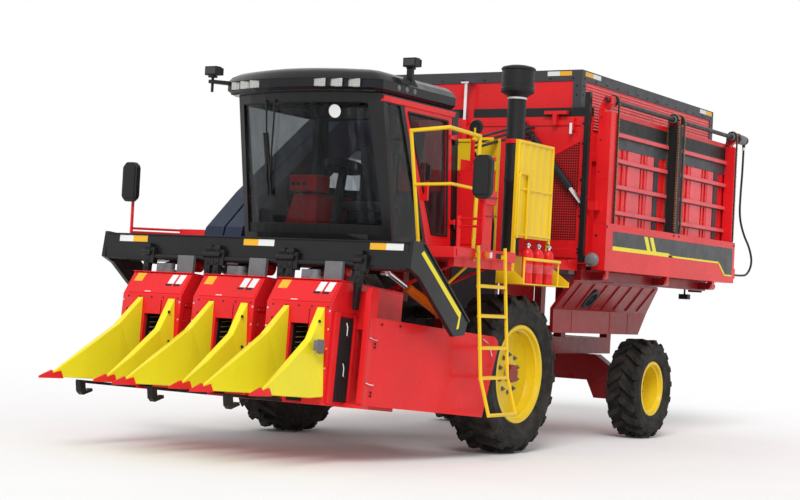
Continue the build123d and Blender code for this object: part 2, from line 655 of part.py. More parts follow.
def eye_boss(side):
    """Boss on the lift arm that faces the cylinder rod's eye."""
    return rod((side * (ARM_X + ARM_T / 2), *LIFT_EYE), (side * (LIFT_CYL_X - 38), *LIFT_EYE), 42, HUB_SIDES)


save("lift_arms", [pitched(lift_arm(s)) + eye_boss(s) for s in (1, -1)])


def end_arm(side):
    """Boxed plate from the beam's end down towards the wheel."""
    x0, x1 = sorted((side * BEAM_HALF, side * (BEAM_HALF + END_T)))
    return prism_x([(BEAM_Y - 10, BEAM_Z + 10), (BEAM_Y + 10, BEAM_Z + BEAM_H + 20),
                    (BEAM_Y + 200, BEAM_Z + BEAM_H + 20), (-1560, 1290), (-1600, 1160), (-1790, 1130),
                    (BEAM_Y + 140, BEAM_Z - 40)], x0, x1)


# Hangers on the beam's front: offset from the unit's middle, foot height, half width at foot and head.
HANGERS = [(-320, UNIT_TOP, 30, 30), (420, UNIT_TOP - 240, 16, 34)]


def hanger(x, low, foot, head):
    """Tapered bracket that hooks over the beam's front and hangs down to its foot."""
    y0, y1 = BEAM_Y - 60, BEAM_Y
    bracket = prism_y([(x - head, BEAM_Z + 150), (x + head, BEAM_Z + 150), (x + head, BEAM_Z - 20), (x + foot, low),
                       (x - foot, low), (x - head, BEAM_Z - 20)], y0, y1)
    return bracket + box(x - head, x + head, y1, y1 + 70, BEAM_Z - 40, BEAM_Z)


hangers = [hanger(n * UNIT_PITCH + u, low, foot, head) for n in (-1, 0, 1) for u, low, foot, head in HANGERS]
pipe = rod((-UNIT_PITCH - 350, BEAM_Y - 30, BEAM_Z + 25), (UNIT_PITCH + 450, BEAM_Y - 30, BEAM_Z + 25), 24, 8)
save("header_frame", pitched(fuse(header_beam(), both(end_arm), hangers, pipe)))

# Picking drums beside the row channel: offset from the unit's middle, radius, channel wall.
DRUMS = [(-205, 105, THROAT_L), (237, 85, THROAT_R)]
DRUM_ROOM = 12
DRUM_Y = UNIT_FRONT + 330
DRUM_TOP = THROAT_TOP - 20


def cabinet(cx):
    """One picking unit: a steel cabinet with a row channel right through it, front to back."""
    half = UNIT_W / 2
    body = prism_x([(UNIT_FRONT, UNIT_BOTTOM), (UNIT_FRONT, HOOD_LOW), (UNIT_FRONT + HOOD_LEAN, UNIT_TOP),
                    (UNIT_REAR, UNIT_TOP), (UNIT_REAR, UNIT_BOTTOM)], cx - half, cx + half)
    body -= box(cx + THROAT_L, cx + THROAT_R, UNIT_FRONT - 100, UNIT_REAR + 10, UNIT_BOTTOM - 10, THROAT_TOP)
    for u, radius, wall in DRUMS:
        x0, x1 = sorted((cx + wall, cx + u + (radius + DRUM_ROOM) * (1 if u > wall else -1)))
        body -= box(x0, x1, DRUM_Y - radius - DRUM_ROOM, DRUM_Y + radius + DRUM_ROOM, UNIT_BOTTOM + 60, DRUM_TOP)
    # Pressed edge along the unit's outer sides
    for x0, x1 in ((cx - half - 1, cx - half + 12), (cx + half - 12, cx + half + 1)):
        body -= box(x0, x1, UNIT_FRONT + 60, UNIT_REAR - 80, UNIT_BOTTOM + 80, HOOD_LOW - 60)
    return body


for n, name in ((1, "left"), (0, "middle"), (-1, "right")):
    save(f"cabinet_{name}", pitched(cabinet(n * UNIT_PITCH)))
drums = []
for n in (-1, 0, 1):
    for u, radius, wall in DRUMS:
        x = n * UNIT_PITCH + u
        drums.append(pitched(rod((x, DRUM_Y, UNIT_BOTTOM + 60), (x, DRUM_Y, DRUM_TOP), radius, 12)))
save("spindle_drums", drums)

# Dividers, on either side of each row channel. Each row is one section, front to rear:
# y, then (x from the unit's middle, z) of outer foot, outer ridge, inner ridge and inner foot.
LEFT_DIVIDER = [
    (-4000, [(-172, 428), (-160, 462), (-146, 462), (-134, 428)]),
    (-3620, [(-262, 440), (-186, 700), (-122, 712), (-100, 440)]),
    (-3200, [(-345, 452), (-200, 965), (-120, 985), (-76, 452)]),
    (UNIT_FRONT - SEAT_GAP, [(-350, 470), (-160, 1255), (-100, 1255), (-74, 470)])]
RIGHT_DIVIDER = [
    (-3860, [(332, 438), (344, 472), (358, 472), (370, 438)]),
    (-3480, [(225, 445), (262, 700), (318, 690), (360, 445)]),
    (-3120, [(150, 452), (225, 965), (285, 945), (345, 452)]),
    (UNIT_FRONT - SEAT_GAP, [(124, 470), (200, 1255), (280, 1255), (350, 470)])]


def divider(cx, rows):
    return stacked([[(cx + x, y, z) for x, z in points] for y, points in rows])


save("dividers", [pitched(divider(n * UNIT_PITCH, rows)) for n in (-1, 0, 1) for rows in (LEFT_DIVIDER, RIGHT_DIVIDER)])
# Red sheet points on the dividers' noses: half width and height of the rear and front ends.
tips = []
for n in (-1, 0, 1):
    for rows in (LEFT_DIVIDER, RIGHT_DIVIDER):
        y, points = rows[0]
        x = n * UNIT_PITCH + (points[1][0] + points[2][0]) / 2
        z = points[0][1]
        rear = [(x - 34, y, z - 6), (x - 16, y, z + 60), (x + 16, y, z + 60), (x + 34, y, z - 6)]
        front = [(x - 8, y - 150, z - 20), (x - 3, y - 150, z), (x + 3, y - 150, z), (x + 8, y - 150, z - 20)]
        tips.append(stacked([rear, front]))
save("divider_tips", [pitched(t) for t in tips])

SILL_FRONT = -3300
skids = []
for n in (-1, 0, 1):
    x0, x1 = n * UNIT_PITCH - UNIT_W / 2 + 20, n * UNIT_PITCH + THROAT_L - 6
    x = n * UNIT_PITCH - 230
    sill = box(x0, x1, SILL_FRONT, UNIT_FRONT, UNIT_BOTTOM, UNIT_BOTTOM + 26)
    tongue = box(x - 30, x + 30, SILL_FRONT - 260, SILL_FRONT, UNIT_BOTTOM, UNIT_BOTTOM + 26)
    hook = prism_x([(SILL_FRONT - 260, UNIT_BOTTOM), (SILL_FRONT - 190, UNIT_BOTTOM), (SILL_FRONT - 170, UNIT_BOTTOM - 70),
                    (SILL_FRONT - 90, UNIT_BOTTOM - 40), (SILL_FRONT - 80, UNIT_BOTTOM - 66),
                    (SILL_FRONT - 200, UNIT_BOTTOM - 108), (SILL_FRONT - 240, UNIT_BOTTOM - 80)], x - 30, x + 30)
    skids.append(pitched(fuse(sill, tongue, hook)))
save("header_skids", skids)

SHIELD_T = 6
SHIELD_FOOT = (1385, -2560)
SHIELD_END = (1660, -730)
SHIELD_L = (Vector(*SHIELD_END) - Vector(*SHIELD_FOOT)).length
# Shield sheet in its own plane: distance along it, height.
SHIELD_SHEET = [(0, 430), (SHIELD_L - 160, 430), (SHIELD_L, 1130), (SHIELD_L - 20, 1180), (SHIELD_L - 70, 1210),
                (0, 1210)]


def side_shield():
    """Upright steel sheet from the left unit's rear post outwards, ahead of the wheel."""
    (x0, y0), (x1, y1) = SHIELD_FOOT, SHIELD_END
    plane = Plane(origin=(x0, y0, 0), x_dir=(x1 - x0, y1 - y0, 0), z_dir=(y1 - y0, x0 - x1, 0))
    sheet = extrude(plane * make_face(Polyline(*SHIELD_SHEET, close=True)), amount=SHIELD_T)
    unit_side = UNIT_PITCH + UNIT_W / 2
    post = box(x0 - 50, x0, y0 - 60, y0 + 60, UNIT_BOTTOM, UNIT_TOP - 30)
    lip = box(x0, x0 + SHIELD_T, y0 - 60, y0 + 10, 430, 1210)
    link = box(unit_side, x0 - 50, y0 + 20, y0 + 50, UNIT_BOTTOM + 700, UNIT_TOP - 60)
    foot = box(unit_side, x0 - 50, y0 - 60, y0 + 60, UNIT_BOTTOM, UNIT_BOTTOM + 40)
    return fuse(sheet, lip, post, link, foot)


save("side_shield", pitched(side_shield()))


# Header lift cylinders, on the plates beside the pivot

def cylinder_parts(base, eye, r, rod_r, share, axis, eye_r=55, pin_r=30, width=60):
    """Barrel and rod between two pins. base and eye are points; axis is the pins' direction."""
    base, eye = Vector(*base), Vector(*eye)
    line = eye - base
    unit = line.normalized()
    split = base + unit * (line.length * share)
    half = Vector(*axis) * (width / 2)
    sides = 12
    barrel = rod(base + unit * 20, split, r, sides) + rod(base - half, base + half, eye_r, sides)
    barrel -= rod(base - half * 2, base + half * 2, pin_r + RUN_GAP)
    barrel -= rod(base + unit * (eye_r + 60), split + unit * 5, rod_r + 0.2, sides)
    shaft = rod(base + unit * (eye_r + 90), eye - unit * 20, rod_r, sides)
    shaft += rod(eye - half, eye + half, eye_r, sides)
    return barrel, shaft + rod(eye - half * 1.12, eye + half * 1.12, pin_r, sides)


lift_pairs = [cylinder_parts((s * LIFT_CYL_X, *LIFT_BASE), (s * LIFT_CYL_X, *LIFT_EYE), 50, 28, 0.62, (1, 0, 0))
              for s in (1, -1)]
save("lift_barrels", [pair[0] for pair in lift_pairs])
save("lift_rods", [pair[1] for pair in lift_pairs])

# Cotton bin

BIN_CHAMFER_Z = BIN_FLOOR_Z + 220
BIN_FOOT_X = BIN_HALF_W - 60
BIN_DOOR_SIDE_X = BIN_HALF_W - 20
front_pts = [(-BIN_HALF_W, BIN_TOP_Z), (-BIN_HALF_W, BIN_CHAMFER_Z), (-BIN_FOOT_X, BIN_FLOOR_Z),
             (BIN_DOOR_SIDE_X, BIN_FLOOR_Z), (BIN_DOOR_SIDE_X, BIN_TOP_Z)]
end_walls = [prism_y(front_pts, y, y + BIN_WALL) for y in (BIN_FRONT, BIN_REAR - BIN_WALL)]
wall_y0, wall_y1 = BIN_FRONT + BIN_WALL, BIN_REAR - BIN_WALL
right_wall = prism_y([(-BIN_HALF_W, BIN_TOP_Z), (-BIN_HALF_W, BIN_CHAMFER_Z), (-BIN_FOOT_X, BIN_FLOOR_Z),
                      (-BIN_FOOT_X + BIN_WALL, BIN_FLOOR_Z), (-BIN_HALF_W + BIN_WALL, BIN_CHAMFER_Z),
                      (-BIN_HALF_W + BIN_WALL, BIN_TOP_Z)], wall_y0, wall_y1)
floor = box(-BIN_FOOT_X, BIN_DOOR_SIDE_X, wall_y0, wall_y1, BIN_FLOOR_Z, BIN_FLOOR_Z + BIN_WALL)
save("bin_right_wall", fuse(right_wall, floor))

# Telescoping top of the bin with its rim frame and corner angles
top_y0, top_y1 = wall_y0 + TOP_GAP, wall_y1 - TOP_GAP
RIM_LOW = TOP_HIGH - TOP_RIM_H


def ring(half, y0, y1, z0, z1, t):
    return box(-half, half, y0, y1, z0, z1) - box(-half + t, half - t, y0 + t, y1 - t, z0 - 1, z1 + 1)


def corner_angle(sx, sy):
    """Angle post round one outer corner of the top's panels."""
    x, y = TOP_HALF_W, (top_y1 if sy > 0 else top_y0)
    legs = side_box(sx, x - 100, x + 10, *sorted((y, y + sy * 10)), TOP_LOW + 20, RIM_LOW)
    return legs + side_box(sx, x, x + 10, *sorted((y - sy * 100, y + sy * 10)), TOP_LOW + 20, RIM_LOW)


save("bin_top_panels", ring(TOP_HALF_W, top_y0, top_y1, TOP_LOW, RIM_LOW, TOP_WALL))
rim_ring = ring(TOP_HALF_W + 10, top_y0 - 10, top_y1 + 10, RIM_LOW, TOP_HIGH, TOP_WALL + 30)
RIM_BARS = [wall_y0 + f * (wall_y1 - wall_y0) for f in (0.25, 0.5, 0.75)]
for y in RIM_BARS:
    rim_ring += box(-TOP_HALF_W + 40, TOP_HALF_W - 40, y - 30, y + 30, RIM_LOW, TOP_HIGH - 10)
save("bin_top_frame", fuse(rim_ring, [corner_angle(sx, sy) for sx in (1, -1) for sy in (1, -1)]))

LIFT_ROD_X = -170
LIFT_ROD_R = 22
ROD_OFF = 60
rod_pieces, barrel_pieces = [], []
for y, out in ((BIN_FRONT - ROD_OFF, -1), (BIN_REAR + ROD_OFF, 1)):
    barrel = rod((LIFT_ROD_X, y, BIN_TOP_Z - 640), (LIFT_ROD_X, y, BIN_TOP_Z - 30), 38, 12)
    for z in (BIN_TOP_Z - 610, BIN_TOP_Z - 160):
        barrel += box(LIFT_ROD_X - 60, LIFT_ROD_X + 60, *sorted((y, y - ROD_OFF * out)), z, z + 60)
    barrel -= rod((LIFT_ROD_X, y, BIN_TOP_Z - 600), (LIFT_ROD_X, y, BIN_TOP_Z), LIFT_ROD_R + 0.2, 12)
    barrel_pieces.append(barrel)
    piston = rod((LIFT_ROD_X, y, BIN_TOP_Z - 170), (LIFT_ROD_X, y, RIM_LOW - 5), LIFT_ROD_R, 12)
    foot_y = y - (ROD_OFF + BIN_WALL + TOP_GAP) * out
    piston += box(LIFT_ROD_X - 50, LIFT_ROD_X + 50, *sorted((y + 40 * out, foot_y)), RIM_LOW - 18, RIM_LOW)
    rod_pieces.append(piston)
DOOR_PIN_R = 22
pins = []
for y, out in ((BIN_FRONT, -1), (BIN_REAR, 1)):
    x, z = DOOR_BASE
    pins.append(rod((x, y, z), (x, y + 88 * out, z), DOOR_PIN_R) + rod((x, y, z), (x, y + 12 * out, z), 40, 12))
save("bin_end_walls", [fuse(*group) for group in zip(end_walls, barrel_pieces, pins)])
save("bin_lift_rods", rod_pieces)

# Beams under the bin, with the forks of the unloading door's hinges
bin_beams = both(lambda s: box(s * RAIL_X - 50, s * RAIL_X + 50, BIN_FRONT - 370, BIN_REAR, BEAM_TOP - 120, BEAM_TOP))
HINGE_BEAM_X = BIN_HALF_W - 60
bearer_y = [BIN_FRONT + 20 + k * (BIN_REAR - BIN_FRONT - 140) / 4 for k in range(5)]
bearers = [box(-BIN_FOOT_X + 60, HINGE_BEAM_X, y, y + 100, BEAM_TOP, BIN_FLOOR_Z) for y in bearer_y]
hinge_beam = box(HINGE_BEAM_X - 80, HINGE_BEAM_X, BIN_FRONT, BIN_REAR - 380, BEAM_TOP - 120, BEAM_TOP)
save("bin_subframe", fuse(bin_beams, bearers, hinge_beam))
HINGE_R = 24
FORK_R = 44
HINGE_Y = [BIN_FRONT + 300, (BIN_FRONT + BIN_REAR) / 2, BIN_REAR - 560]


def hinge_fork(y):
    """Two plates on the hinge beam with the pin that the door's ear turns on."""
    pin = rod((SIDE_HINGE_X, y - 46, SIDE_HINGE_Z), (SIDE_HINGE_X, y + 126, SIDE_HINGE_Z), HINGE_R)
    for y1 in (y - 46, y + 86):
        plate = box(HINGE_BEAM_X, SIDE_HINGE_X, y1, y1 + 40, SIDE_HINGE_Z - FORK_R, SIDE_HINGE_Z + FORK_R)
        pin += plate + rod((SIDE_HINGE_X, y1, SIDE_HINGE_Z), (SIDE_HINGE_X, y1 + 40, SIDE_HINGE_Z), FORK_R, 16)
    return pin


save("hinge_forks", [hinge_fork(y) for y in HINGE_Y])

# Unloading door, which folds out about the pins along its foot

DOOR_Y0 = BIN_FRONT + 80
DOOR_Y1 = BIN_REAR - 40
SKIN_T = 12
SHAFT_X = SIDE_DOOR_OUT - 58
SHAFT_Z = DOOR_HIGH_Z + 90
SHAFT_R = 26
SPROCKET_R = 60
CHAIN_T = 14
CHAIN_W = 20
# Columns: y of the front face, width along y, depth out from the skin.
MID_Y = (DOOR_Y0 + DOOR_Y1) / 2
COLUMNS = [(DOOR_Y0, 140, 76), (MID_Y - 55, 110, 110), (DOOR_Y1 - 110, 110, 76)]
door_body = box(SIDE_DOOR_IN + SKIN_T, SIDE_DOOR_OUT, DOOR_Y0, DOOR_Y1, DOOR_LOW_Z, DOOR_PANEL_TOP)
door_body += box(SIDE_DOOR_IN, SIDE_DOOR_IN + SKIN_T, DOOR_Y0, DOOR_Y1, DOOR_LOW_Z, DOOR_HIGH_Z - 40)
door_body += box(SIDE_DOOR_IN, SIDE_DOOR_IN + 26, DOOR_Y0, DOOR_Y1, DOOR_HIGH_Z - 60, DOOR_HIGH_Z)
for y, width, depth in COLUMNS:
    door_body += box(SIDE_DOOR_IN, SIDE_DOOR_IN + depth, y, y + width, DOOR_LOW_Z, DOOR_HIGH_Z)
    arm = prism_y([(SIDE_DOOR_IN, DOOR_HIGH_Z - 40), (SIDE_DOOR_IN + 40, DOOR_HIGH_Z - 40),
                   (SHAFT_X + 40, SHAFT_Z - 45), (SHAFT_X + 40, SHAFT_Z + 45), (SHAFT_X - 50, SHAFT_Z + 45),
                   (SIDE_DOOR_IN, DOOR_HIGH_Z + 20)], y + 20, y + width - 20)
    door_body += arm - rod((SHAFT_X, y, SHAFT_Z), (SHAFT_X, y + width, SHAFT_Z), SHAFT_R + RUN_GAP, 16)
RIB_PITCH = 150
ribs = [box(SIDE_DOOR_IN + SKIN_T, SIDE_DOOR_IN + SKIN_T + 14, y, y + 30, DOOR_PANEL_TOP, DOOR_HIGH_Z - 60)
        for y in range(int(DOOR_Y0) + 190, int(DOOR_Y1) - 150, RIB_PITCH)]
door_body = fuse(door_body, ribs)
LUG_T = 22
for y_lug, y_foot in ((BIN_FRONT - 30, DOOR_Y0), (BIN_REAR + 8, DOOR_Y1)):
    z0, z1 = DOOR_EYE[1] - 50, DOOR_EYE[1] + 50
    door_body += box(DOOR_EYE[0] - 45, SIDE_DOOR_IN + 76, y_lug, y_lug + LUG_T, z0, z1)
    door_body += box(SIDE_DOOR_IN, SIDE_DOOR_IN + 76, *sorted((y_foot, y_lug)), z0, z1)
for y in HINGE_Y:
    ear = rod((SIDE_HINGE_X, y, SIDE_HINGE_Z), (SIDE_HINGE_X, y + 80, SIDE_HINGE_Z), 46, 16)
    ear += box(SIDE_HINGE_X - 18, SIDE_HINGE_X + 46, y, y + 80, SIDE_HINGE_Z, DOOR_LOW_Z)
    door_body += ear - rod((SIDE_HINGE_X, y - 5, SIDE_HINGE_Z), (SIDE_HINGE_X, y + 85, SIDE_HINGE_Z),
                           HINGE_R + RUN_GAP)
hose_foot = box(SHAFT_X - 40, SHAFT_X + 40, DOOR_Y1, DOOR_Y1 + 90, DOOR_LOW_Z + 60, DOOR_LOW_Z + 190)
save("unload_door_frame", fuse(door_body, hose_foot))

# Conveyor on the door: sprockets on the head shaft, chains that hang from them, slats between the chains
TEETH = 10
chain_y = [COLUMNS[0][0] + COLUMNS[0][1] + 8, COLUMNS[1][0] - 8 - CHAIN_W, COLUMNS[1][0] + COLUMNS[1][1] + 8,
           COLUMNS[2][0] - 8 - CHAIN_W]


def sprocket(y):
    """Toothed wheel on the head shaft: a low and a high point for each tooth."""
    points = []
    for n in range(2 * TEETH):
        r = SPROCKET_R + (4 if n % 2 else -8)
        points.append((SHAFT_X + r * cos(pi * n / TEETH), SHAFT_Z + r * sin(pi * n / TEETH)))
    return prism_y(points, y + 3, y + CHAIN_W - 3)


def chain(y):
    """One chain as a loop over its sprocket and down both sides to the lower panel."""
    outer, inner = [], []
    for n in range(7):
        a = pi * n / 6
        outer.append((SHAFT_X + (SPROCKET_R + CHAIN_T) * cos(a), SHAFT_Z + (SPROCKET_R + CHAIN_T) * sin(a)))
        inner.append((SHAFT_X + SPROCKET_R * cos(a), SHAFT_Z + SPROCKET_R * sin(a)))
    foot = DOOR_PANEL_TOP
    points = [(SHAFT_X + SPROCKET_R + CHAIN_T, foot)] + outer + [(SHAFT_X - SPROCKET_R - CHAIN_T, foot),
              (SHAFT_X - SPROCKET_R, foot)] + inner[::-1] + [(SHAFT_X + SPROCKET_R, foot)]
    return prism_y(points, y, y + CHAIN_W)


shaft = rod((SHAFT_X, DOOR_Y0 - 40, SHAFT_Z), (SHAFT_X, DOOR_Y1 + 20, SHAFT_Z), SHAFT_R, 16)
motor = rod((SHAFT_X, DOOR_Y1 + 20, SHAFT_Z), (SHAFT_X, DOOR_Y1 + 330, SHAFT_Z), 55, 12)
port = rod((SHAFT_X, DOOR_Y1 + 300, SHAFT_Z), (SHAFT_X, DOOR_Y1 + 300, SHAFT_Z - 90), 22, 10)
slats = []
SLAT_ROWS = 4
SLAT_STEP = 290
for y0, y1 in ((chain_y[0], chain_y[1]), (chain_y[2], chain_y[3])):
    for n in range(SLAT_ROWS):
        z = DOOR_PANEL_TOP + 110 + n * SLAT_STEP
        x = SHAFT_X - SPROCKET_R - CHAIN_T
        slats.append(box(x, x + CHAIN_T, y0 + CHAIN_W, y1, z, z + 56))
save("unload_conveyor", fuse(shaft, motor, port, [sprocket(y) for y in chain_y], [chain(y) for y in chain_y], slats))

door_pairs = []
for y in (BIN_FRONT - 60, BIN_REAR + 60):
    door_pairs.append(cylinder_parts((DOOR_BASE[0], y, DOOR_BASE[1]), (DOOR_EYE[0], y, DOOR_EYE[1]), 45, 26, 0.80,
                                     (0, 1, 0), eye_r=45, pin_r=DOOR_PIN_R, width=50))
save("door_barrels", [pair[0] for pair in door_pairs])
save("door_rods", [pair[1] for pair in door_pairs])

# Hose from the conveyor motor down to the door's foot
HOSE_R = 14
HOSE_Y = DOOR_Y1 + 300
HOSE_POINTS = [(SHAFT_X, HOSE_Y, SHAFT_Z - 90), (SHAFT_X, HOSE_Y, SHAFT_Z - 370),
               (SHAFT_X + 6, HOSE_Y - 48, SHAFT_Z - 690), (SHAFT_X - 4, HOSE_Y - 30, SHAFT_Z - 1000),
               (SHAFT_X + 12, HOSE_Y + 120, SHAFT_Z - 1230), (SHAFT_X + 4, HOSE_Y + 364, SHAFT_Z - 1370),
               (SHAFT_X + 14, HOSE_Y + 478, SHAFT_Z - 1570), (SHAFT_X + 6, HOSE_Y + 334, SHAFT_Z - 1740),
               (SHAFT_X, HOSE_Y + 78, SHAFT_Z - 1760), (SHAFT_X, DOOR_Y1 + 90, SHAFT_Z - 1760)]


def bend_radii(points):
    """Radius of each bend: 0.45 of the shorter run beside it, over the tangent of half the turn."""
    pts = [Vector(*p) for p in points]
    radii = []
    for a, b, c in zip(pts, pts[1:], pts[2:]):
        run_in, run_out = b - a, c - b
        turn = radians(run_in.get_angle(run_out))
        radii.append(0.45 * min(run_in.length, run_out.length) / tan(turn / 2))
    return radii


radii = bend_radii(HOSE_POINTS)
print("hose radii", [round(r) for r in radii])
hose_path = FilletPolyline(*HOSE_POINTS, radius=radii)
hose_section = RegularPolygon(HOSE_R, 12)
hose = sweep(Plane(origin=hose_path @ 0, z_dir=hose_path % 0) * hose_section, path=hose_path)
print("hose length", round(hose_path.length), "volume ratio",
      round(hose.volume / (hose_section.area * hose_path.length), 4))
save("hose", hose)

# Intake stack
STACK = (1300, 60)
STACK_SIDES = 20
stack = rod((*STACK, FLOOR_Z), (*STACK, DECK_Z + 1740), 88, STACK_SIDES)
save("intake_stack", stack + rod((*STACK, DECK_Z + 1740), (*STACK, DECK_Z + 1990), 170, STACK_SIDES))

# Service side: tray with extinguishers, guards, tool cabinet

TRAY_Z = 1700
TRAY_OUT = 1625
TRAY_Y = (-230, 800)
BOTTLE_R = 57
BOTTLE_X = 1540
tray = box(SIDE_BEAM_X, TRAY_OUT, *TRAY_Y, TRAY_Z, TRAY_Z + 12)
tray += box(SIDE_BEAM_X, SIDE_BEAM_X + 12, *TRAY_Y, TRAY_Z, FLOOR_Z - 10)
for y in (TRAY_Y[0], TRAY_Y[1] - 8):
    gusset = [(SIDE_BEAM_X, TRAY_Z), (TRAY_OUT, TRAY_Z), (TRAY_OUT, TRAY_Z + 50), (SIDE_BEAM_X + 12, FLOOR_Z - 30),
              (SIDE_BEAM_X, FLOOR_Z - 30)]
    tray += prism_y(gusset, y, y + 8)
GUARD_X = 1460
GUARD_Y = (-222, 570)
GUARD_Z = (2170, 3150)
guard = []
for y in (GUARD_Y[0], GUARD_Y[1] - 36):
    guard.append(box(GUARD_X, GUARD_X + 36, y, y + 36, TRAY_Z + 12, GUARD_Z[1]))
for z in (GUARD_Z[0], 2640, GUARD_Z[1] - 36):
    guard.append(box(GUARD_X, GUARD_X + 36, *GUARD_Y, z, z + 36))
WAVES = 12
WAVE = (GUARD_Y[1] - GUARD_Y[0] - 72) / (2 * WAVES)
zigzag = [(GUARD_X + (12 if n % 2 else 26), GUARD_Y[0] + 36 + n * WAVE) for n in range(2 * WAVES + 1)]
sheet = zigzag + [(x - 6, y) for x, y in reversed(zigzag)]
guard.append(prism_z(sheet, GUARD_Z[0] + 36, GUARD_Z[1] - 36))
hold = rail([(TRAY_OUT - 12, GUARD_Y[0] + 20, TRAY_Z + 12), (TRAY_OUT - 12, GUARD_Y[0] + 20, 1960),
             (TRAY_OUT - 12, GUARD_Y[1] - 20, 1960), (TRAY_OUT - 12, GUARD_Y[1] - 20, TRAY_Z + 12)], 12)
bulkhead = [box(x, x + 30, 190, 220, FLOOR_Z, 3200) for x in (450, 1020)]
bulkhead += [box(450, 1050, 190, 220, 3170, 3200), box(450, 1050, 190, 220, 2870, 2900),
             box(480, 1020, 202, 208, 2900, 3170)]
save("extinguisher_tray", fuse(tray, guard, hold), fuse(bulkhead))
bottles = []
for y in (0, 230, 460):
    bottle = rod((BOTTLE_X, y, TRAY_Z + 12), (BOTTLE_X, y, TRAY_Z + 360), BOTTLE_R, 16)
    neck = rod((BOTTLE_X, y, TRAY_Z + 360), (BOTTLE_X, y, TRAY_Z + 430), 20, 8)
    bottles.append(bottle + neck)
save("extinguishers", bottles)
tool = box(1140, 1390, -730, -500, FLOOR_Z, 2790) + box(1140, 1420, -742, -730, FLOOR_Z + 60, 2760)
save("tool_cabinet", tool)

# Mirrors: arm post, arm tubes and head on the left; bracket on the outer duct, arms and head on the right
MIRROR_X = 1950
MIRROR_Y = -1680
FAR_MIRROR_Y = -2003
left_mirror = rod((1640, -1590, FLOOR_Z), (1640, -1590, 2290), 20, 8)
for z in (2190, 2260):
    left_mirror += rod((1640, -1590, z), (MIRROR_X, MIRROR_Y, z), 14, 6)
left_mirror += rod((MIRROR_X, MIRROR_Y, 2150), (MIRROR_X, MIRROR_Y, 2820), 16, 8)
DUCT_X = -1395
DUCT_W = 210
right_mirror = box(-1740, DUCT_X, -1490, -1450, 2025, 2095)
for z in (2042, 2080):
    right_mirror += rod((-1730, -1470, z), (-MIRROR_X, FAR_MIRROR_Y, z - 14), 14, 6)
right_mirror += rod((-MIRROR_X, FAR_MIRROR_Y, 1997), (-MIRROR_X, FAR_MIRROR_Y, 2730), 16, 8)
save("mirror_arms", left_mirror, right_mirror)


def mirror_head(x, y, z):
    """Mirror housing with cut corners, on the arm's front."""
    w, h, c = 95, 200, 40
    pts = [(x - w + c, z - h), (x + w - c, z - h), (x + w, z - h + c), (x + w, z + h - c), (x + w - c, z + h),
           (x - w + c, z + h), (x - w, z + h - c), (x - w, z - h + c)]
    return prism_y(pts, y - 76, y - 16)


save("mirrors", mirror_head(MIRROR_X, MIRROR_Y, 2640), mirror_head(-MIRROR_X, FAR_MIRROR_Y, 2534))

# Cotton ducts from behind the header up to the bin: x, y of the front face at its foot
DUCTS = [(DUCT_X, -1530), (-1165, -1790), (-935, -1790)]


def duct(x, y):
    side = [(y, DECK_Z), (y, 2020), (y + 30, 2120), (y + 500, 2520), (y + 1680, 3380), (y + 1850, 3480),
            (BIN_FRONT, 3480), (BIN_FRONT, 3080), (y + 2000, 3080), (y + 850, 2300), (y + 560, 2080),
            (y + 430, 1960), (y + 430, DECK_Z)]
    return prism_x(side, x, x + DUCT_W)


save("ducts", [duct(x, y) for x, y in DUCTS])

RAIL_TOP_Z = BIN_TOP_Z + 100
EDGE_X = -TOP_HALF_W - 60
bin_rails = [box(-BIN_HALF_W, EDGE_X, BIN_FRONT, BIN_REAR, BIN_TOP_Z, RAIL_TOP_Z)]
for y in (BIN_FRONT, BIN_REAR - 45):
    bin_rails.append(box(EDGE_X, LIFT_ROD_X - 80, y, y + 45, BIN_TOP_Z, RAIL_TOP_Z))
    bin_rails.append(box(LIFT_ROD_X + 80, BIN_DOOR_SIDE_X, y, y + 45, BIN_TOP_Z, RAIL_TOP_Z))
post_x = BIN_HALF_W - 40
upright = box(post_x, post_x + 60, BIN_FRONT - 150, BIN_FRONT - 95, BIN_FLOOR_Z + 10, BIN_TOP_Z + 250)
for z in (BIN_FLOOR_Z + 40, BIN_TOP_Z - 60):
    upright += box(post_x, BIN_DOOR_SIDE_X, BIN_FRONT - 95, BIN_FRONT, z, z + 50)
save("bin_rails", bin_rails, upright)

whole = Compound(children=[Pos(0, 0, 0) * s for name, solids in NODES.items() if name != "hose" for s in solids])
extent = whole.bounding_box()
mid_y = (extent.min.Y + extent.max.Y) / 2
print("front", round(extent.min.Y, 3), "rear", round(extent.max.Y, 3), "left", round(extent.max.X, 3),
      "right", round(extent.min.X, 3), "low", round(extent.min.Z, 3), "high", round(extent.max.Z, 3),
      "middle", round(mid_y, 3))
# Pivots of the moving bodies, in the working frame.
PIVOTS = [("lift", 0, LIFT_Y, LIFT_Z), ("lift_base", 0, *LIFT_BASE), ("lift_eye", 0, *LIFT_EYE),
          ("side_hinge", SIDE_HINGE_X, (BIN_FRONT + BIN_REAR) / 2, SIDE_HINGE_Z),
          ("door_base", DOOR_BASE[0], BIN_FRONT, DOOR_BASE[1]), ("door_eye", DOOR_EYE[0], BIN_FRONT, DOOR_EYE[1]),
          ("cab_door", DOOR_AXIS_X, DOOR_HINGE_Y, FLOOR_Z), ("cab_door_top", DOOR_AXIS_X, DOOR_HINGE_Y + CAB_REAR_LEAN, CAB_TOP),
          ("hitch", 0, HITCH_Y, HITCH_Z)]
for name, x, y, z in PIVOTS:
    print("pivot", name, x, y, z)
for name, solids in NODES.items():
    moved = [Pos(0, -mid_y, 0) * solid for solid in solids]
    export_step(Compound(children=moved), f"parts/{name}.step")
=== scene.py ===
import math
import random

import bmesh
import bpy
from mathutils import Matrix, Vector


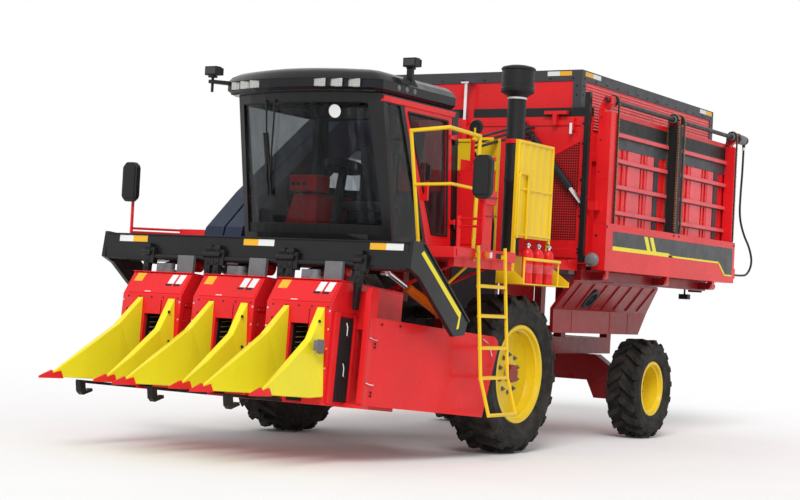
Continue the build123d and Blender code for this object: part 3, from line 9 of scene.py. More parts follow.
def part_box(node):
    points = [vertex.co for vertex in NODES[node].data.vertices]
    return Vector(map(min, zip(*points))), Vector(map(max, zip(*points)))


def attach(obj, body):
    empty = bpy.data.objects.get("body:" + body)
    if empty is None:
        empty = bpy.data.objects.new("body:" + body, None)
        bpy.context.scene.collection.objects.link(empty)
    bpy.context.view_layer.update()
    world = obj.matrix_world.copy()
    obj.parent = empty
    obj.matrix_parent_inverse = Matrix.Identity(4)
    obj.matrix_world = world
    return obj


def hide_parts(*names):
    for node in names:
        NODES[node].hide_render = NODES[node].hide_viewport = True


# Looks of a three-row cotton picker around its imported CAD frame.
# Lengths are in metres. Places below are written from the front axle on the ground:
# X to the machine's left, Y to its rear, Z up. AXLE_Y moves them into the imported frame.

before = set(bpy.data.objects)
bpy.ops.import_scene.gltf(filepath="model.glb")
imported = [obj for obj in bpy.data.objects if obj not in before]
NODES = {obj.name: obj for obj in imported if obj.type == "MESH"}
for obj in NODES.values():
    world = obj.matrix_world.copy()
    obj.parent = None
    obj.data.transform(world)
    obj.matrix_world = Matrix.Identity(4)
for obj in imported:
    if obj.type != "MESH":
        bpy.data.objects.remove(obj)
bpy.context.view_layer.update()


def middle(node):
    low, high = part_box(node)
    return (low + high) / 2


AXLE_Y = middle("front_tyre_left").y
SHIFT = Matrix.Translation((0, AXLE_Y, 0))

# The header stands turned up about the lift pivot; its pieces are built level.
LIFT_PIVOT = Vector((0, -1.25, 1.38))
HEADER_PITCH = math.radians(4.5)
PITCH = (SHIFT @ Matrix.Translation(LIFT_PIVOT) @ Matrix.Rotation(-HEADER_PITCH, 4, "X")
         @ Matrix.Translation(-LIFT_PIVOT))

# Camera, lights and floor

CAMERA_PLACE = (9.507, -15.239, 1.478)
CAMERA_TURN = math.radians(31.89)
CAMERA_DIP = math.radians(-1.69)
CAMERA_ROLL = math.radians(3.01)
CAMERA_LENS = 76.65
SENSOR_W = 36.0


def make_camera():
    ahead = Vector((-math.sin(CAMERA_TURN) * math.cos(CAMERA_DIP),
                    math.cos(CAMERA_TURN) * math.cos(CAMERA_DIP),
                    -math.sin(CAMERA_DIP)))
    level = Vector((math.cos(CAMERA_TURN), math.sin(CAMERA_TURN), 0))
    above = level.cross(ahead)
    right = math.cos(CAMERA_ROLL) * level + math.sin(CAMERA_ROLL) * above
    up = -math.sin(CAMERA_ROLL) * level + math.cos(CAMERA_ROLL) * above
    data = bpy.data.cameras.new("camera")
    data.lens = CAMERA_LENS
    data.sensor_width = SENSOR_W
    data.clip_end = 200
    camera = bpy.data.objects.new("camera", data)
    bpy.context.scene.collection.objects.link(camera)
    place = Vector(CAMERA_PLACE) + Vector((0, AXLE_Y, 0))
    camera.matrix_world = Matrix((
        (right.x, up.x, -ahead.x, place.x),
        (right.y, up.y, -ahead.y, place.y),
        (right.z, up.z, -ahead.z, place.z),
        (0, 0, 0, 1)))
    bpy.context.scene.camera = camera


WORLD_LIGHT = 0.75
SUN_LIGHT = 1.9
SUN_SOFTNESS = math.radians(25)
SUN_TURN = (math.radians(48), 0, math.radians(25))
FLOOR_HALF = 60.0


def make_world():
    """Plain grey-white light on the object; white to the camera, in mirrors and through glass."""
    world = bpy.data.worlds.new("studio")
    world.use_nodes = True
    tree = world.node_tree
    background = tree.nodes["Background"]
    background.inputs["Color"].default_value = (1, 1, 1, 1)
    rays = tree.nodes.new("ShaderNodeLightPath")
    seen = rays.outputs["Is Camera Ray"]
    for name in ("Is Glossy Ray", "Is Transmission Ray"):
        either = tree.nodes.new("ShaderNodeMath")
        either.operation = "MAXIMUM"
        tree.links.new(seen, either.inputs[0])
        tree.links.new(rays.outputs[name], either.inputs[1])
        seen = either.outputs[0]
    level = tree.nodes.new("ShaderNodeMapRange")
    level.inputs["To Min"].default_value = WORLD_LIGHT
    level.inputs["To Max"].default_value = 1.0
    tree.links.new(seen, level.inputs["Value"])
    tree.links.new(level.outputs["Result"], background.inputs["Strength"])
    bpy.context.scene.world = world
    bpy.context.scene.view_settings.view_transform = "Standard"


def make_lights():
    data = bpy.data.lights.new("sun", "SUN")
    data.energy = SUN_LIGHT
    data.angle = SUN_SOFTNESS
    sun = bpy.data.objects.new("sun", data)
    sun.rotation_euler = SUN_TURN
    bpy.context.scene.collection.objects.link(sun)


def make_floor():
    mesh = bpy.data.meshes.new("floor")
    h = FLOOR_HALF
    mesh.from_pydata([(-h, -h, 0), (h, -h, 0), (h, h, 0), (-h, h, 0)], [], [(0, 1, 2, 3)])
    floor = bpy.data.objects.new("floor", mesh)
    bpy.context.scene.collection.objects.link(floor)
    floor.data.materials.append(floor_paint())


# Materials


def new_material(name):
    material = bpy.data.materials.new(name)
    material.use_nodes = True
    return material, material.node_tree, material.node_tree.nodes["Principled BSDF"]


def noise(tree, scale, detail=4.0, rough=0.55, stretch=(1, 1, 1)):
    """Noise over the object's own coordinates; the factor output runs from 0 to 1."""
    place = tree.nodes.new("ShaderNodeTexCoord")
    mapping = tree.nodes.new("ShaderNodeMapping")
    mapping.inputs["Scale"].default_value = stretch
    texture = tree.nodes.new("ShaderNodeTexNoise")
    texture.inputs["Scale"].default_value = scale
    texture.inputs["Detail"].default_value = detail
    texture.inputs["Roughness"].default_value = rough
    tree.links.new(place.outputs["Object"], mapping.inputs["Vector"])
    tree.links.new(mapping.outputs["Vector"], texture.inputs["Vector"])
    return texture.outputs["Fac"]


def spread(tree, value, low, high, to_low=0.0, to_high=1.0):
    node = tree.nodes.new("ShaderNodeMapRange")
    node.inputs["From Min"].default_value = low
    node.inputs["From Max"].default_value = high
    node.inputs["To Min"].default_value = to_low
    node.inputs["To Max"].default_value = to_high
    tree.links.new(value, node.inputs["Value"])
    return node.outputs["Result"]


def multiply(tree, a, b):
    node = tree.nodes.new("ShaderNodeMath")
    node.operation = "MULTIPLY"
    tree.links.new(a, node.inputs[0])
    tree.links.new(b, node.inputs[1])
    return node.outputs[0]


def blend_colour(tree, factor, first, second):
    node = tree.nodes.new("ShaderNodeMix")
    node.data_type = "RGBA"
    tree.links.new(factor, node.inputs["Factor"])
    for socket, value in ((node.inputs[6], first), (node.inputs[7], second)):
        if isinstance(value, tuple):
            socket.default_value = (*value, 1)
        else:
            tree.links.new(value, socket)
    return node.outputs[2]


def bump(tree, shader, height, strength, distance):
    node = tree.nodes.new("ShaderNodeBump")
    node.inputs["Strength"].default_value = strength
    node.inputs["Distance"].default_value = distance
    tree.links.new(height, node.inputs["Height"])
    tree.links.new(node.outputs["Normal"], shader.inputs["Normal"])


DUST = (0.26, 0.21, 0.17)
SHINE = 0.22


def height_dust(tree, top, strength):
    """More dust towards the ground: a factor from the height above it, broken up by noise."""
    place = tree.nodes.new("ShaderNodeNewGeometry")
    split = tree.nodes.new("ShaderNodeSeparateXYZ")
    tree.links.new(place.outputs["Position"], split.inputs[0])
    low = spread(tree, split.outputs["Z"], 0.0, top, strength, 0.0)
    return multiply(tree, low, spread(tree, noise(tree, 5.0, 6.0), 0.3, 0.75))


def paint(name, colour, shade=0.82, rough=0.3, coat=0.10, dust=0.12, dust_top=1.6):
    """Enamel: slow colour drift, uneven gloss, faint sheet waviness and dust low down."""
    material, tree, shader = new_material(name)
    drift = spread(tree, noise(tree, 1.3, 5.0), 0.3, 0.7)
    tone = blend_colour(tree, drift, colour, tuple(c * shade for c in colour))
    tone = blend_colour(tree, height_dust(tree, dust_top, dust), tone, DUST)
    tree.links.new(tone, shader.inputs["Base Color"])
    gloss = spread(tree, noise(tree, 9.0, 5.0), 0.3, 0.7, rough * 0.8, rough * 1.35)
    tree.links.new(gloss, shader.inputs["Roughness"])
    shader.inputs["Specular IOR Level"].default_value = SHINE
    shader.inputs["Coat Weight"].default_value = coat
    shader.inputs["Coat Roughness"].default_value = 0.12
    bump(tree, shader, noise(tree, 2.4, 2.0), 0.35, 0.012)
    return material


def plastic(name, colour, rough=0.42, grain=260.0, dust=0.1, shade=0.86):
    """Moulded plastic with a fine grain and slight fading."""
    material, tree, shader = new_material(name)
    drift = spread(tree, noise(tree, 2.0, 4.0), 0.3, 0.7)
    tone = blend_colour(tree, drift, colour, tuple(c * shade for c in colour))
    tone = blend_colour(tree, height_dust(tree, 1.2, dust), tone, DUST)
    tree.links.new(tone, shader.inputs["Base Color"])
    tree.links.new(spread(tree, noise(tree, 14.0), 0.3, 0.7, rough * 0.85, rough * 1.2),
                   shader.inputs["Roughness"])
    shader.inputs["Specular IOR Level"].default_value = SHINE
    bump(tree, shader, noise(tree, grain, 2.0), 0.15, 0.0012)
    return material


def metal(name, colour, rough=0.35, brushed=(1, 1, 1), grain=60.0, depth=0.0008, metallic=1.0):
    """Bare metal with directional scratches and stains."""
    material, tree, shader = new_material(name)
    stain = spread(tree, noise(tree, 4.0, 6.0), 0.35, 0.7)
    tone = blend_colour(tree, stain, colour, tuple(c * 0.72 for c in colour))
    tree.links.new(tone, shader.inputs["Base Color"])
    shader.inputs["Metallic"].default_value = metallic
    streak = noise(tree, grain, 3.0, 0.6, brushed)
    tree.links.new(spread(tree, streak, 0.3, 0.7, rough * 0.7, rough * 1.4), shader.inputs["Roughness"])
    bump(tree, shader, streak, 0.2, depth)
    return material


def rubber(name, colour, rough, dust, depth):
    """Tyre or hose rubber: dull, with grey-brown dust caught in a rough skin."""
    material, tree, shader = new_material(name)
    patches = spread(tree, noise(tree, 6.0, 8.0, 0.65), 0.42, 0.72, 0.0, dust)
    tone = blend_colour(tree, patches, colour, (0.12, 0.102, 0.085))
    tree.links.new(tone, shader.inputs["Base Color"])
    tree.links.new(spread(tree, noise(tree, 30.0), 0.3, 0.7, rough * 0.9, rough * 1.1),
                   shader.inputs["Roughness"])
    shader.inputs["Specular IOR Level"].default_value = SHINE
    bump(tree, shader, noise(tree, 90.0, 6.0), 0.4, depth)
    return material


def see_through(tree, share, clear, shader):
    """Let the surface show by its share, and the clear shader by the rest."""
    mix = tree.nodes.new("ShaderNodeMixShader")
    tree.links.new(share, mix.inputs["Fac"])
    tree.links.new(clear.outputs[0], mix.inputs[1])
    tree.links.new(shader.outputs[0], mix.inputs[2])
    tree.links.new(mix.outputs[0], tree.nodes["Material Output"].inputs["Surface"])


def glass(name, tint, haze):
    """Tinted pane: a see-through film of its colour under a sharp reflection, with faint streaks of dust."""
    material, tree, shader = new_material(name)
    clear = tree.nodes.new("ShaderNodeBsdfTransparent")
    streak = spread(tree, noise(tree, 3.0, 5.0, 0.6, (9, 9, 1)), 0.45, 0.8)
    tree.links.new(blend_colour(tree, streak, tint, tuple(c * 0.72 for c in tint)), clear.inputs["Color"])
    tree.links.new(blend_colour(tree, streak, (0.02, 0.024, 0.026), (0.16, 0.165, 0.17)),
                   shader.inputs["Base Color"])
    tree.links.new(spread(tree, noise(tree, 12.0), 0.3, 0.8, 0.02, haze), shader.inputs["Roughness"])
    facing = tree.nodes.new("ShaderNodeLayerWeight")
    facing.inputs["Blend"].default_value = 0.35
    share = spread(tree, facing.outputs["Facing"], 0.0, 1.0, 0.05, 0.75)
    see_through(tree, share, clear, shader)
    return material


def cloth(name, colour):
    """Woven seat cloth: two crossing wave bands and a soft sheen."""
    material, tree, shader = new_material(name)
    place = tree.nodes.new("ShaderNodeTexCoord")
    bands = []
    for direction in ("X", "Z"):
        wave = tree.nodes.new("ShaderNodeTexWave")
        wave.bands_direction = direction
        wave.inputs["Scale"].default_value = 160
        wave.inputs["Distortion"].default_value = 0.6
        tree.links.new(place.outputs["Object"], wave.inputs["Vector"])
        bands.append(wave.outputs["Fac"])
    weave = multiply(tree, *bands)
    tree.links.new(blend_colour(tree, weave, tuple(c * 0.6 for c in colour), colour),
                   shader.inputs["Base Color"])
    shader.inputs["Roughness"].default_value = 0.9
    shader.inputs["Sheen Weight"].default_value = 0.3
    bump(tree, shader, weave, 0.4, 0.002)
    return material


def perforated(name, colour, hole_shade, pitch, flat_axis):
    """Sheet punched with a square grid of holes, shown as dark dots of painted shade, the shade inside seen
    through them; flat_axis is the sheet's thin axis.
    """
    material, tree, shader = new_material(name)
    place = tree.nodes.new("ShaderNodeTexCoord")
    mapping = tree.nodes.new("ShaderNodeMapping")
    mapping.inputs["Scale"].default_value = tuple(0.0 if axis == flat_axis else 1.0 for axis in "XYZ")
    cells = tree.nodes.new("ShaderNodeTexVoronoi")
    cells.inputs["Scale"].default_value = 1 / pitch
    cells.inputs["Randomness"].default_value = 0.0
    tree.links.new(place.outputs["Object"], mapping.inputs["Vector"])
    tree.links.new(mapping.outputs["Vector"], cells.inputs["Vector"])
    rim = spread(tree, cells.outputs["Distance"], 0.36, 0.44)
    tone = blend_colour(tree, spread(tree, noise(tree, 1.3), 0.3, 0.7), colour,
                        tuple(c * 0.85 for c in colour))
    tree.links.new(blend_colour(tree, rim, hole_shade, tone), shader.inputs["Base Color"])
    shader.inputs["Roughness"].default_value = 0.42
    shader.inputs["Specular IOR Level"].default_value = SHINE
    bump(tree, shader, rim, 0.5, 0.002)
    return material


def lens(name, colour, pitch):
    """Lamp glass over a grid of small round reflectors."""
    material, tree, shader = new_material(name)
    place = tree.nodes.new("ShaderNodeTexCoord")
    cells = tree.nodes.new("ShaderNodeTexVoronoi")
    cells.inputs["Scale"].default_value = 1 / pitch
    cells.inputs["Randomness"].default_value = 0.0
    tree.links.new(place.outputs["Object"], cells.inputs["Vector"])
    cup = spread(tree, cells.outputs["Distance"], 0.15, 0.55)
    tree.links.new(blend_colour(tree, cup, colour, tuple(c * 0.45 for c in colour)),
                   shader.inputs["Base Color"])
    shader.inputs["Roughness"].default_value = 0.1
    shader.inputs["Coat Weight"].default_value = 0.8
    bump(tree, shader, cup, 0.6, 0.004)
    return material


def clear_film(name):
    """Thin crumpled protective film: mostly see-through; its bright streaks on the folds are painted
    highlights, a grey colour shown where the fold noise is high.
    """
    material, tree, shader = new_material(name)
    clear = tree.nodes.new("ShaderNodeBsdfTransparent")
    shader.inputs["Base Color"].default_value = (0.30, 0.31, 0.33, 1)
    fold_highlight = noise(tree, 5.0, 5.0, 0.6, (7, 7, 0.6))
    tree.links.new(spread(tree, fold_highlight, 0.3, 0.7, 0.10, 0.35), shader.inputs["Roughness"])
    see_through(tree, spread(tree, fold_highlight, 0.45, 0.7, 0.08, 0.55), clear, shader)
    return material


def floor_paint():
    """Pale studio floor: white to the camera, with the object's shadow on it."""
    material, tree, shader = new_material("studio_floor")
    speck = spread(tree, noise(tree, 0.8, 3.0), 0.3, 0.7)
    tree.links.new(blend_colour(tree, speck, (0.87, 0.87, 0.87), (0.85, 0.85, 0.85)),
                   shader.inputs["Base Color"])
    shader.inputs["Roughness"].default_value = 0.9
    return material


RED = (0.76, 0.013, 0.017)
MAT = {
    "red": paint("red_enamel", RED, dust=0.06),
    "pink": paint("faded_red_enamel", (0.80, 0.095, 0.110), dust=0.02, rough=0.36),
    # Darker copy of the red enamel for the frame, axles and lower body: painted shade under the machine
    "shaded_red": paint("shaded_red_enamel", (0.26, 0.007, 0.009), dust=0.05),
    "black": paint("black_enamel", (0.009, 0.009, 0.010), shade=1.5, rough=0.30, coat=0.08, dust=0.02),
    "roof": paint("glossy_black_enamel", (0.007, 0.007, 0.009), shade=1.4, rough=0.20, coat=0.0, dust=0.0),
    "yellow": paint("yellow_enamel", (0.84, 0.56, 0.015), rough=0.34, dust=0.06),
    "lemon": plastic("lemon_plastic", (0.82, 0.71, 0.022), rough=0.30, dust=0.02, shade=0.93),
    "rim": paint("rim_yellow_enamel", (0.84, 0.58, 0.012), dust=0.08, dust_top=1.2),
    "navy": plastic("navy_duct_plastic", (0.016, 0.025, 0.052), dust=0.0),
    "grey": paint("dark_grey_enamel", (0.042, 0.043, 0.048), shade=1.15, coat=0.1, rough=0.45, dust=0.0),
    "band": paint("stripe_grey_film", (0.045, 0.047, 0.050), shade=1.1, coat=0.1, rough=0.4, dust=0.0),
    "frame": paint("frame_enamel", (0.016, 0.016, 0.017), shade=1.5, coat=0.1, rough=0.45, dust=0.2),
    "tyre": rubber("tyre_rubber", (0.013, 0.012, 0.011), 0.8, 0.30, 0.004),
    "hose": rubber("hose_rubber", (0.012, 0.012, 0.012), 0.5, 0.12, 0.001),
    "glass": glass("tinted_glass", (0.78, 0.80, 0.81), 0.06),
    "chrome": metal("chrome", (0.82, 0.82, 0.84), 0.12, depth=0.0001),
    "cast": metal("cast_grey", (0.20, 0.20, 0.21), 0.6, grain=120.0, metallic=0.6),
    "steel": metal("worn_steel", (0.40, 0.40, 0.41), 0.38, (1, 1, 12)),
    "bronze": metal("brown_chain_steel", (0.30, 0.19, 0.10), 0.45, metallic=0.8),
    "orange": plastic("orange_lens", (0.80, 0.16, 0.008), 0.15, grain=400.0),
    "cloth": cloth("seat_cloth", (0.10, 0.10, 0.11)),
    "film": clear_film("film_with_painted_highlights"),
    "lens": lens("clear_lens", (0.80, 0.80, 0.76), 0.018),
    "mirror": metal("mirror_glass", (0.75, 0.77, 0.8), 0.03, depth=0.0),
    "moulded": plastic("moulded_black", (0.014, 0.014, 0.015), 0.45, dust=0.0),
    "white": plastic("white_film", (0.78, 0.78, 0.76), 0.3, dust=0.02),
    "amber": plastic("amber_film", (0.83, 0.44, 0.03), 0.3, dust=0.02),
    # The dark dot colour is painted shade, the bin's shaded inside seen through the holes
    "holes": perforated("perforated_red_sheet", (0.52, 0.011, 0.014), (0.03, 0.004, 0.005), 0.028, "Y"),
}

# Mesh helpers. Every shape is added to a bmesh in model places; Build makes the piece.


# A point from two outline numbers and a level along the named axis
AXIS_ORDER = {"X": lambda a, b, c: (c, a, b), "Y": lambda a, b, c: (a, c, b), "Z": lambda a, b, c: (a, b, c)}


class Build:
    """One piece: shapes of one look that ride on one body, with bevelled edges."""

    def __init__(self, name, look, body="chassis", bevel=0.003, segments=2, smooth=30):
        self.name, self.look, self.body = name, look, body
        self.width, self.segments, self.smooth = bevel, segments, smooth
        self.bm = bmesh.new()

    def hull(self, points):
        """Convex solid round the points."""
        verts = [self.bm.verts.new(p) for p in points]
        made = bmesh.ops.convex_hull(self.bm, input=verts)
        spare = [g for g in made["geom_interior"] + made["geom_unused"] if isinstance(g, bmesh.types.BMVert)]
        if spare:
            bmesh.ops.delete(self.bm, geom=list(set(spare)), context="VERTS")
        return self

    def box(self, x0, x1, y0, y1, z0, z1):
        corners = [self.bm.verts.new((x, y, z)) for x in (x0, x1) for y in (y0, y1) for z in (z0, z1)]
        for a, b, c, d in ((0, 1, 3, 2), (4, 6, 7, 5), (0, 4, 5, 1), (2, 3, 7, 6), (0, 2, 6, 4),
                           (1, 5, 7, 3)):
            self.bm.faces.new([corners[k] for k in (a, b, c, d)])
        return self

    def boxes(self, *spans):
        for span in spans:
            self.box(*span)
        return self

    def pair(self, a, b, *span):
        """The same box on both sides, from a to b out from the middle."""
        for side in (1, -1):
            self.box(*sorted((side * a, side * b)), *span)
        return self

    def loft(self, rings, closed=True, caps=True):
        """Skin through rings of points that have the same number of points."""
        rows = [[self.bm.verts.new(p) for p in ring] for ring in rings]
        for low, high in zip(rows, rows[1:]):
            count = len(low)
            for k in range(count if closed else count - 1):
                j = (k + 1) % count
                self.bm.faces.new((low[k], low[j], high[j], high[k]))
        if caps:
            self.bm.faces.new(rows[0][::-1])
            self.bm.faces.new(rows[-1])
        return self

    def prism(self, outline, axis, low, high):
        """Outline pushed along an axis: (y, z) along X, (x, z) along Y or (x, y) along Z."""
        return self.loft([[AXIS_ORDER[axis](a, b, c) for a, b in outline] for c in (low, high)])

    def slab(self, outline, axis, low, high):
        """Convex outline, its points in any order, between two levels of an axis."""
        return self.hull([AXIS_ORDER[axis](a, b, c) for c in (low, high) for a, b in outline])

    def tube(self, points, r, sides=10):
        """Round bar of one radius along a line of points."""
        pts = [Vector(p) for p in points]
        runs = [(b - a).normalized() for a, b in zip(pts, pts[1:])]
        side = runs[0].orthogonal().normalized()
        rings = []
        for n, point in enumerate(pts):
            ahead = runs[min(n, len(runs) - 1)]
            behind = runs[max(n - 1, 0)]
            along = (ahead + behind).normalized()
            side = (side - along * side.dot(along)).normalized()
            other = along.cross(side)
            rings.append([point + r * (math.cos(t) * side + math.sin(t) * other)
                          for t in (2 * math.pi * k / sides for k in range(sides))])
        return self.loft(rings)

    def lathe(self, origin, axis, outline, sides=48):
        """Turn an outline of (distance along the axis, radius) points about a line through origin."""
        origin, axis = Vector(origin), Vector(axis).normalized()
        side = axis.orthogonal().normalized()
        other = axis.cross(side)
        rows = []
        for k in range(sides):
            t = 2 * math.pi * k / sides
            out = math.cos(t) * side + math.sin(t) * other
            rows.append([self.bm.verts.new(origin + axis * h + out * r) for h, r in outline])
        for k in range(sides):
            one, two = rows[k], rows[(k + 1) % sides]
            for a, b, c, d in zip(one, one[1:], two[1:], two):
                self.bm.faces.new((a, b, c, d))
        bmesh.ops.remove_doubles(self.bm, verts=[v for row in rows for v in row], dist=1e-6)
        return self

    def disc(self, origin, axis, r, low, high, sides):
        """Plain round plate about the axis, from low to high along it."""
        return self.lathe(origin, axis, [(low, 0), (low, r), (high, r), (high, 0)], sides)

    def bolt(self, point, along, r=0.011, h=0.009):
        """Hexagon head on a washer."""
        point, along = Vector(point), Vector(along).normalized()
        self.disc(point, along, r * 1.5, 0, h * 0.25, 12)
        return self.lathe(point + along * h * 0.25, along, [(0, 0), (0, r), (h * 0.6, r), (h * 0.75, r * 0.8),
                                                            (h * 0.75, 0)], 6)

    def done(self):
        bmesh.ops.recalc_face_normals(self.bm, faces=self.bm.faces)
        mesh = bpy.data.meshes.new(self.name)
        self.bm.to_mesh(mesh)
        self.bm.free()
        mesh.transform(PITCH if self.body == "header" else SHIFT)
        mesh.materials.append(MAT[self.look])
        piece = bpy.data.objects.new(self.name, mesh)
        bpy.context.scene.collection.objects.link(piece)
        if self.smooth:
            mesh.shade_smooth()
            mesh.set_sharp_from_angle(angle=math.radians(self.smooth))
        if self.width:
            round_edges(piece, self.width, self.segments)
        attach(piece, self.body)
        return piece


def round_edges(piece, width, segments=2):
    bevel = piece.modifiers.new("edges", "BEVEL")
    bevel.width = width
    bevel.segments = segments
    bevel.limit_method = "ANGLE"
    bevel.angle_limit = math.radians(35)
    bevel.harden_normals = True


# Which material each CAD node shows, and how wide its edges are rounded.
NODE_LOOKS = {
    "red": ("bin_end_walls", "bin_right_wall", "bin_top_panels", "unload_door_frame", "deck",
            "cab_door", "cabinet_left", "cabinet_middle", "cabinet_right", "side_shield",
            "mirror_arms", "divider_tips", "tool_cabinet"),
    # Frame, axles and lower body take the darker copy of the red: painted shade
    "shaded_red": ("bin_subframe", "hinge_forks", "lower_body", "main_frame", "frame_posts", "front_axle",
                 "rear_axle", "knuckle_left", "knuckle_right"),
    "black": ("cab_shell", "header_frame", "lift_arms", "lift_brackets", "bin_rails", "door_barrels"),
    "roof": ("cab_roof",),
    "yellow": ("ladder", "handrail", "extinguisher_tray"),
    "lemon": ("dividers",),
    "navy": ("ducts",),
    "grey": ("bin_top_frame", "engine_block"),
    "tyre": ("front_tyre_left", "front_tyre_right", "rear_tyre_left", "rear_tyre_right"),
    "glass": ("cab_glass", "cab_door_glass"),
    "chrome": ("lift_rods", "bin_lift_rods", "door_rods"),
    "steel": ("spindle_drums",),
    "frame": ("unload_conveyor",),
    "orange": ("lift_barrels",),
    "moulded": ("cab_controls", "mirrors", "header_skids"),
    "lens": ("roof_lamps",),
}
EDGES = {
    "cab_roof": 0.022, "dividers": 0.016, "mirrors": 0.018, "ducts": 0.008, "handrail": 0.011,
    "ladder": 0.011, "side_shield": 0.001, "cab_glass": 0.001, "cab_door_glass": 0.001,
    "mirror_arms": 0.005, "roof_lamps": 0.006, "front_tyre_left": 0.008, "front_tyre_right": 0.008,
    "rear_tyre_left": 0.006, "rear_tyre_right": 0.006, "cabinet_left": 0.006, "cabinet_middle": 0.006,
    "cabinet_right": 0.006, "divider_tips": 0.003, "extinguisher_tray": 0.003, "tool_cabinet": 0.004,
}
EDGE = 0.0025


def dress_nodes():
    for look, names in NODE_LOOKS.items():
        for name in names:
            node = NODES[name]
            node.data.materials.clear()
            node.data.materials.append(MAT[look])
            weld = node.modifiers.new("weld", "WELD")
            weld.merge_threshold = 0.0001
            round_edges(node, EDGES.get(name, EDGE), 3 if EDGES.get(name, EDGE) > 0.01 else 2)


# Hose from the conveyor's motor to the door's foot: the route's points in part.py, in metres

HOSE_ROUTE = [(1.542, 5.900, 3.700), (1.542, 5.900, 3.420), (1.548, 5.852, 3.100), (1.538, 5.870, 2.790),
              (1.554, 6.020, 2.560), (1.546, 6.264, 2.420), (1.556, 6.378, 2.220), (1.548, 6.234, 2.050),
              (1.542, 5.978, 2.030), (1.542, 5.690, 2.030)]
HOSE_R = 0.014


def motor_hose():
    curve = bpy.data.curves.new("motor_hose", "CURVE")
    curve.dimensions = "3D"
    curve.bevel_depth = HOSE_R
    curve.bevel_resolution = 5
    curve.resolution_u = 14
    curve.use_fill_caps = True
    spline = curve.splines.new("NURBS")
    spline.points.add(len(HOSE_ROUTE) - 1)
    for point, (x, y, z) in zip(spline.points, HOSE_ROUTE):
        point.co = (x, y + AXLE_Y, z, 1)
    spline.order_u = 3
    spline.use_endpoint_u = True
    curve.materials.append(MAT["hose"])
    hose = bpy.data.objects.new("motor_hose", curve)
    bpy.context.scene.collection.objects.link(hose)
    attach(hose, "unload_door")
    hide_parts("hose")
    x, y, z = HOSE_ROUTE[0]


# Wheels

# Name, middle, side, tyre radius, tyre width, rim radius, rim width, bore, dish and number of lugs.
WHEELS = []
for word, side in (("left", 1), ("right", -1)):
    WHEELS.append((f"front_{word}", Vector((side * 1.3, 0, 0.8)), side, 0.8, 0.49, 0.496, 0.43,
                   0.09, 0.06, 20))
    WHEELS.append((f"rear_{word}", Vector((side * 1.257, 3.57, 0.588)), side, 0.588, 0.38, 0.323, 0.33,
                   0.06, -0.06, 18))


def rim_outline(rim_r, width, bore, dish):
    """Closed outline of the rim's section: the CAD's, with a stepped well and a rolled flange."""
    h, t = width / 2, 0.014
    seat, well = rim_r - 0.024, rim_r - 0.060
    return [(h - t, seat), (h - t, rim_r), (h - 0.007, rim_r + 0.001), (h, rim_r - 0.004), (h, seat - 0.012),
            (h - 0.035, seat - 0.022), (h - 0.045, seat - 0.040), (h - 0.075, well - 0.002),
            (h - 0.105, well - 0.010),
            (dish + 0.040, well - 0.012), (dish + 0.014, well - 0.022), (dish + 0.014, bore * 2.7),
            (dish + 0.022, bore * 2.5), (dish + 0.030, bore * 1.7), (dish + 0.030, bore + 0.001),
            (dish - 0.040, bore + 0.001), (dish - 0.040, bore * 1.6), (dish - 0.014, bore * 2.3),
            (dish - 0.014, well - 0.004), (-h + 0.070, well - 0.004), (-h, seat - 0.012), (-h, rim_r),
            (-h + t, rim_r), (-h + t, seat), (-h + 0.075, well + 0.014), (h - 0.075, well + 0.014),
            (h - t, seat)]


